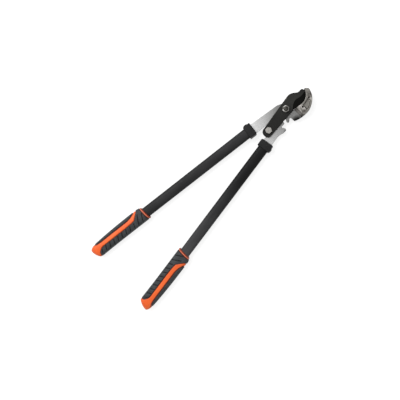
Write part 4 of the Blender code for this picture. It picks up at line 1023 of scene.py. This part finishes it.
def back_curve(start, end, inset, steps=40):
    """Points of the outer curve between two angles."""
    return [anvil_back(start + (end - start) * i / steps, inset) for i in range(steps + 1)]


def heel_angle():
    """Angle of the edge's arc where the heel line touches it."""
    return degrees(heel_line()[0]) - 90


def anvil_outline():
    """Casting seen from above, counter-clockwise from its outer foot."""
    tips = ((anvil_back(ANVIL_TIP_ANGLE, 0), ANVIL_TIP_OUTER), (BLADE_TIP, ANVIL_TIP_INNER))
    corners = back_curve(anvil_back_angle(ANVIL_START_Y, 0), ANVIL_TIP_ANGLE - 4, 0, 60)
    corners += [(x + across, y + along, radius) for (x, y), (across, along, radius) in tips]
    corners.append([value + SEAT_GAP for value in BLADE_TIP])
    corners += face_arc(SEAT_GAP, EDGE_END_ANGLE, heel_angle())
    corners += [heel_point(SEAT_GAP, ANVIL_START_Y)]
    return rounded(corners)


def pocket_loop(start, end):
    """Pocket between the rims of the anvil, from one angle to another."""
    inner = face_arc(SEAT_GAP + ANVIL_RIM, end, start)
    outer = back_curve(start, end, ANVIL_RIM, 16)
    corners = []
    for side in (outer, inner):
        corners += [(*side[0], POCKET_CORNER)] + side[1:-1] + [(*side[-1], POCKET_CORNER)]
    return rounded(corners)


def jaw_loop(grow):
    """Tongue of the left plate behind the anvil, run out past its foot."""
    inset = JAW_INSET - grow
    foot = ANVIL_START_Y - 2
    outer = back_curve(anvil_back_angle(ANVIL_START_Y, inset), JAW_END_ANGLE, inset)
    inner = face_arc(inset + SEAT_GAP, JAW_END_ANGLE, heel_angle())
    return [heel_point(inset + SEAT_GAP, foot), (outer[0][0], foot)] + outer + inner


def screw_places():
    """Centres of the two anvil screws, the lower one first."""
    return [face_arc(SCREW_RING, angle, angle)[0] for angle in SCREW_ANGLES]


def distance(flat, x, y):
    """Distance of flat points from a place."""
    return np.hypot(flat[:, 0] - x, flat[:, 1] - y)


def make_anvil(name):
    """Casting with rims, pockets, ribs, a ramp and the recess behind."""
    outline = anvil_outline()
    rib = degrees(RIB_HALF_WIDTH / (EDGE_RADIUS + SCREW_RING))
    lower, upper = SCREW_ANGLES
    ends = (POCKET_ENDS[0], lower - rib, lower + rib, upper - rib, upper + rib, POCKET_ENDS[1])
    pockets = [pocket_loop(*pair) for pair in zip(ends[::2], ends[1::2])]
    jaw = jaw_loop(SEAT_GAP)
    loops = [shrink(outline, depth) for depth in (0.12, 0.4, ANVIL_EDGES)]
    loops += [jaw, shrink(jaw, STEP_RUN)]
    hole = SCREW_RADIUS + SEAT_GAP
    for x, y in screw_places():
        loops += [circle(x, y, hole + step, SCREW_SIDES) for step in (0, -STEP_RUN, SCREW_EDGE)]

    def top(flat):
        """Height of the front face."""
        edge = np.clip(inside(flat, outline), 0, ANVIL_EDGES)
        height = ANVIL_TOP - ANVIL_EDGES + np.sqrt(ANVIL_EDGES ** 2 - (ANVIL_EDGES - edge) ** 2)
        for pocket, share in zip(pockets, POCKET_SHARES):
            height = height - share * POCKET_DEPTH * smooth(inside(flat, pocket), *POCKET_WALL)
        foot = PLATE_TOP + ANVIL_RAMP_FOOT
        ramp = foot + (flat[:, 1] - ANVIL_START_Y) * (ANVIL_TOP - foot) / ANVIL_RAMP_LENGTH
        height = np.minimum(height, ramp)
        for x, y in screw_places():
            away = distance(flat, x, y)
            height = height - SCREW_EDGE * (1 - smooth(away, hole, hole + SCREW_EDGE))
            height = np.where(away < hole - STEP_RUN / 2, ANVIL_BOTTOM + SCREW_LEVEL, height)
        return height

    def bottom(flat):
        """Height of the back face, with the jaw's recess."""
        return np.where(inside(flat, jaw) > STEP_RUN / 2, PLATE_TOP + SEAT_GAP, ANVIL_BOTTOM)

    def hollow(flat):
        """Painted shade across the ramp, in the pockets and round the screws."""
        run = (flat[:, 1] - ANVIL_START_Y) / ANVIL_RAMP_LENGTH
        painted_shade = 0.3 * np.exp(-((run - 0.75) / 0.14) ** 2)
        outward = (distance(flat, EDGE_X, EDGE_Y) - EDGE_RADIUS) / ANVIL_WIDTH
        worth = 0.15 + 0.85 * smooth(outward, 0.3, 0.6)
        for pocket, share in zip(pockets, POCKET_SHARES):
            depth = inside(flat, pocket)
            along_wall = smooth(depth, -0.4, 0.5) * (1 - smooth(depth, 1.6, 3.0))
            wall_shade = 0.75 * share * worth * np.maximum(along_wall, 0.1 * smooth(depth, 0, 2))
            painted_shade = np.maximum(painted_shade, wall_shade)
        for x, y in screw_places():
            away = distance(flat, x, y)
            painted_shade = np.maximum(painted_shade, 1 - smooth(away, hole - STEP_RUN, hole + 0.9))
        return painted_shade

    return relief(name, outline, loops, top, bottom, hollow, ANVIL_GRID)


def make_hex(name, x, y, across, low, high, turn, cut_low, cut_high):
    """Hexagonal body with chamfered corners."""
    corner = across / sqrt(3)
    body = prism(name, circle(x, y, corner, 6, turn), low, high)
    inner, outer = across / 2 - HEX_CHAMFER_RUN, corner + 0.3
    run = (outer - inner) * HEX_CHAMFER_SLOPE
    spare = HEX_CHAMFER_RUN * HEX_CHAMFER_SLOPE
    top, base = high + spare, low - spare
    profile = [(inner, top), (outer, top - run)] if cut_high else [(outer, top)]
    profile += [(outer, base + run), (inner, base)] if cut_low else [(outer, base)]
    combine(body, turned("trim", profile, x, y), "INTERSECT")
    return body


def threaded_end(low, high):
    """Profile of a bolt's end, from its crown down a few turns of thread."""
    profile = [(BOLT_RADIUS - 2 * BOLT_CROWN, high),
               (BOLT_RADIUS - BOLT_CROWN / 2, high - BOLT_CROWN / 2)]
    level = high - 1.6 * BOLT_CROWN
    while level > low:
        profile += [(BOLT_RADIUS, level), (BOLT_RADIUS, level - THREAD_PITCH * 0.2),
                    (BOLT_RADIUS - THREAD_DEPTH, level - THREAD_PITCH * 0.6)]
        level -= THREAD_PITCH
    return profile


def make_pivot_nut(name):
    """Nut on the blade, with its chamfered bore."""
    nut = make_hex(name, 0, 0, NUT_ACROSS, NUT_BOTTOM, NUT_TOP, NUT_TURN, False, True)
    profile = [(NUT_BORE + 1.5, NUT_TOP + 0.7), (NUT_BORE, NUT_TOP - 0.8),
               (NUT_BORE, NUT_BOTTOM - 1)]
    combine(nut, turned("bore", profile), "DIFFERENCE")
    return nut


def make_pivot_bolt(name):
    """Flanged bolt with a threaded round end."""
    bolt = make_hex(name, 0, 0, NUT_ACROSS, 0, FLANGE_TOP - FLANGE_HEIGHT / 2, 0, True, False)
    base = FLANGE_TOP - FLANGE_HEIGHT
    flange = [(WASHER_RADIUS - 0.4, FLANGE_TOP), (WASHER_RADIUS, FLANGE_TOP - 0.4),
              (WASHER_RADIUS, base + 0.3), (WASHER_RADIUS - 0.3, base)]
    combine(bolt, turned("flange", flange), "UNION")
    shank = threaded_end(NUT_TOP - 3, BOLT_TOP)
    shank += [(BOLT_RADIUS, shank[-1][1] - 0.5), (BOLT_RADIUS, FLANGE_TOP - 1.4)]
    combine(bolt, turned("shank", shank), "UNION")
    return bolt


def make_link_bolt(name):
    """Hexagon head on the blade, and its shank."""
    bolt = make_hex(name, LINK_X, LINK_Y, LINK_HEAD_ACROSS, LINK_HEAD_BOTTOM, LINK_HEAD_TOP, 90,
                    False, True)
    shank = [(BOLT_RADIUS, LINK_HEAD_BOTTOM + 1.6), (BOLT_RADIUS, LINK_BOLT_END + BOLT_CROWN),
             (BOLT_RADIUS - BOLT_CROWN, LINK_BOLT_END)]
    combine(bolt, turned("shank", shank, LINK_X, LINK_Y), "UNION")
    return bolt


def make_link_nut(name):
    """Lock nut behind the right plate, with its round collar."""
    nut = make_hex(name, LINK_X, LINK_Y, NUT_ACROSS, LOCK_RING_HEIGHT, LINK_NUT_TOP, 90, True,
                   False)
    outer = NUT_ACROSS / 2 - 0.9
    ring = [(outer, LOCK_RING_HEIGHT + 1), (outer, 0.9), (outer - 0.25, 0.3), (outer - 0.9, 0)]
    combine(nut, turned("ring", ring, LINK_X, LINK_Y), "UNION")
    bore = [(NUT_BORE, LINK_NUT_TOP + 1), (NUT_BORE, -1)]
    combine(nut, turned("bore", bore, LINK_X, LINK_Y), "DIFFERENCE")
    return nut


def dress_nodes(finish, *nodes):
    """Give solids that stay as they are their look."""
    for node in nodes:
        mesh = frame["nodes"][node].data
        mesh.materials.clear()
        mesh.materials.append(bpy.data.materials[finish])


def make_handles():
    """Tubes, collars and grips of both handles."""
    for side, word in ((-1, "left"), (1, "right")):
        for node, ending, make, slot, finish in (
                ("_tube", "_painted", make_tube, "painted_tube", word + " powder coat"),
                ("_collar", "_moulded", make_collar, "black_moulding", "black moulding"),
                ("_grip_core", "_moulded", make_core, "orange_moulding", "orange moulding"),
                ("_grip_palm", "_rubber", make_overmould, "black_rubber", "black rubber"),
                ("_grip_pad", "_rubber", make_overmould, "black_rubber", "black rubber")):
            piece = on_handle(make(word + node + ending), side)
            dress(piece, word + "_handle", slot, finish, word + node)


def make_head():
    """Blade, anvil, fasteners, and the finishes of the solids that stay."""
    for node, ending, make, body, slot, finish in (
            ("blade", "_coated", make_blade, "blade", "coated_blade", "blade coating"),
            ("anvil", "_cast", make_anvil, "left_handle", "cast_steel", "cast steel"),
            ("pivot_nut", "_plated", make_pivot_nut, "left_handle", "zinc_plate", "nut steel"),
            ("pivot_bolt", "_plated", make_pivot_bolt, "left_handle", "zinc_plate", "dull zinc"),
            ("link_bolt", "_plated", make_link_bolt, "blade", "zinc_plate", "zinc plate"),
            ("link_nut", "_plated", make_link_nut, "blade", "zinc_plate", "zinc plate")):
        dress(make(node + ending), body, slot, finish, node)
    mark_bevel(bpy.data.objects["blade_coated"])
    dress_nodes("left satin steel", "left_handle_plate")
    dress_nodes("right satin steel", "right_handle_plate")
    dress_nodes("screw steel", "lower_anvil_screw", "upper_anvil_screw")
    dress_nodes("grey filler", "left_tube_insert", "right_tube_insert")
    dress_nodes("zinc plate", *[node for node in frame["nodes"]
                                if node.endswith(("washer", "bushing", "rivet"))])


def seen_strength(tree, unseen, seen):
    """Strength for camera, glossy and transmission rays, and one for the rest."""
    path = tree.nodes.new("ShaderNodeLightPath")
    total = path.outputs["Is Camera Ray"]
    for kind in ("Is Glossy Ray", "Is Transmission Ray"):
        total = larger(tree, total, path.outputs[kind])
    return feed(tree.nodes.new("ShaderNodeMapRange"), Value=total, To_Min=unseen,
                To_Max=seen).outputs["Result"]


def make_world(level):
    """Surroundings: full white where seen, softer as a light."""
    world = bpy.data.worlds.new("white room")
    bpy.context.scene.world = world
    world.use_nodes = True
    tree = world.node_tree
    feed(tree.nodes["Background"], Color=(1, 1, 1, 1), Strength=seen_strength(tree, level, 1.0))


def make_floor(size, grey, glow):
    """Pale floor that keeps a faint shadow; its size is in metres."""
    half = size / 2
    mesh = bpy.data.meshes.new("floor")
    mesh.from_pydata([(-half, -half, 0), (half, -half, 0), (half, half, 0), (-half, half, 0)],
                     [], [(0, 1, 2, 3)])
    material = bpy.data.materials.new("pale floor")
    material.use_nodes = True
    tree = material.node_tree
    feed(tree.nodes["Principled BSDF"], Base_Color=(grey, grey, grey, 1), Roughness=1.0,
         Specular_IOR_Level=0.0, Emission_Color=(1, 1, 1, 1),
         Emission_Strength=seen_strength(tree, 0.0, glow))
    mesh.materials.append(material)
    floor = add_object("floor", mesh)


def make_lamp(name, place, size, power):
    """Square soft box aimed at the tool, with place and size in metres."""
    data = bpy.data.lights.new(name, "AREA")
    data.energy = power
    data.size = size
    lamp = add_object(name, data)
    lamp.location = place
    aim = Vector(LAMP_TARGET) - Vector(place)
    lamp.rotation_euler = aim.to_track_quat("-Z", "Y").to_euler()


def make_camera():
    """Camera of the photograph, turned 45 degrees and leaning to the right."""
    data = bpy.data.cameras.new("camera")
    data.lens = CAMERA_LENS
    camera = add_object("camera", data)
    camera.location = Vector(CAMERA_PLACE) * MM
    camera.rotation_euler = [radians(turn) for turn in CAMERA_TURNS]
    bpy.context.scene.camera = camera


def main():
    """Make the finishes, the pieces and the stage."""
    # The left plate's steel is set lighter than the right's: painted light.
    satin_steel("left satin steel", 172, JAW_SHADE_SPOTS)
    satin_steel("right satin steel", 165, HORN_SHADE_SPOTS)
    zinc_plate("zinc plate", (144, 142, 138), (126, 124, 120), (144, 142, 138))
    zinc_plate("dull zinc", (68, 67, 63), (50, 49, 46), (68, 67, 63))
    # The pivot nut's zinc is set darker, as painted shade, with lighter painted highlights in
    # spots.
    zinc_plate("nut steel", (150, 149, 145), (88, 87, 84), (108, 107, 103),
               highlight_shades=((162, 161, 157), (186, 185, 181)))
    # The tubes' grey levels differ per tube and along each: painted light and shade.
    powder_coat("left powder coat", head=37, grip=33)
    powder_coat("right powder coat", head=10, grip=66)
    for make in (cast_steel, screw_steel, blade_coating, shaded_bevel, black_moulding,
                 black_rubber, orange_moulding, grey_filler):
        make()
    make_handles()
    make_head()
    make_floor(size=8.0, grey=0.35, glow=0.78)
    make_world(level=0.5)
    make_lamp("key", place=(-1.0, -0.3, 1.3), size=1.4, power=22)
    make_lamp("fill", place=(1.0, -0.4, 1.2), size=1.2, power=2)
    make_camera()
    bpy.context.scene.view_settings.view_transform = "Standard"


main()
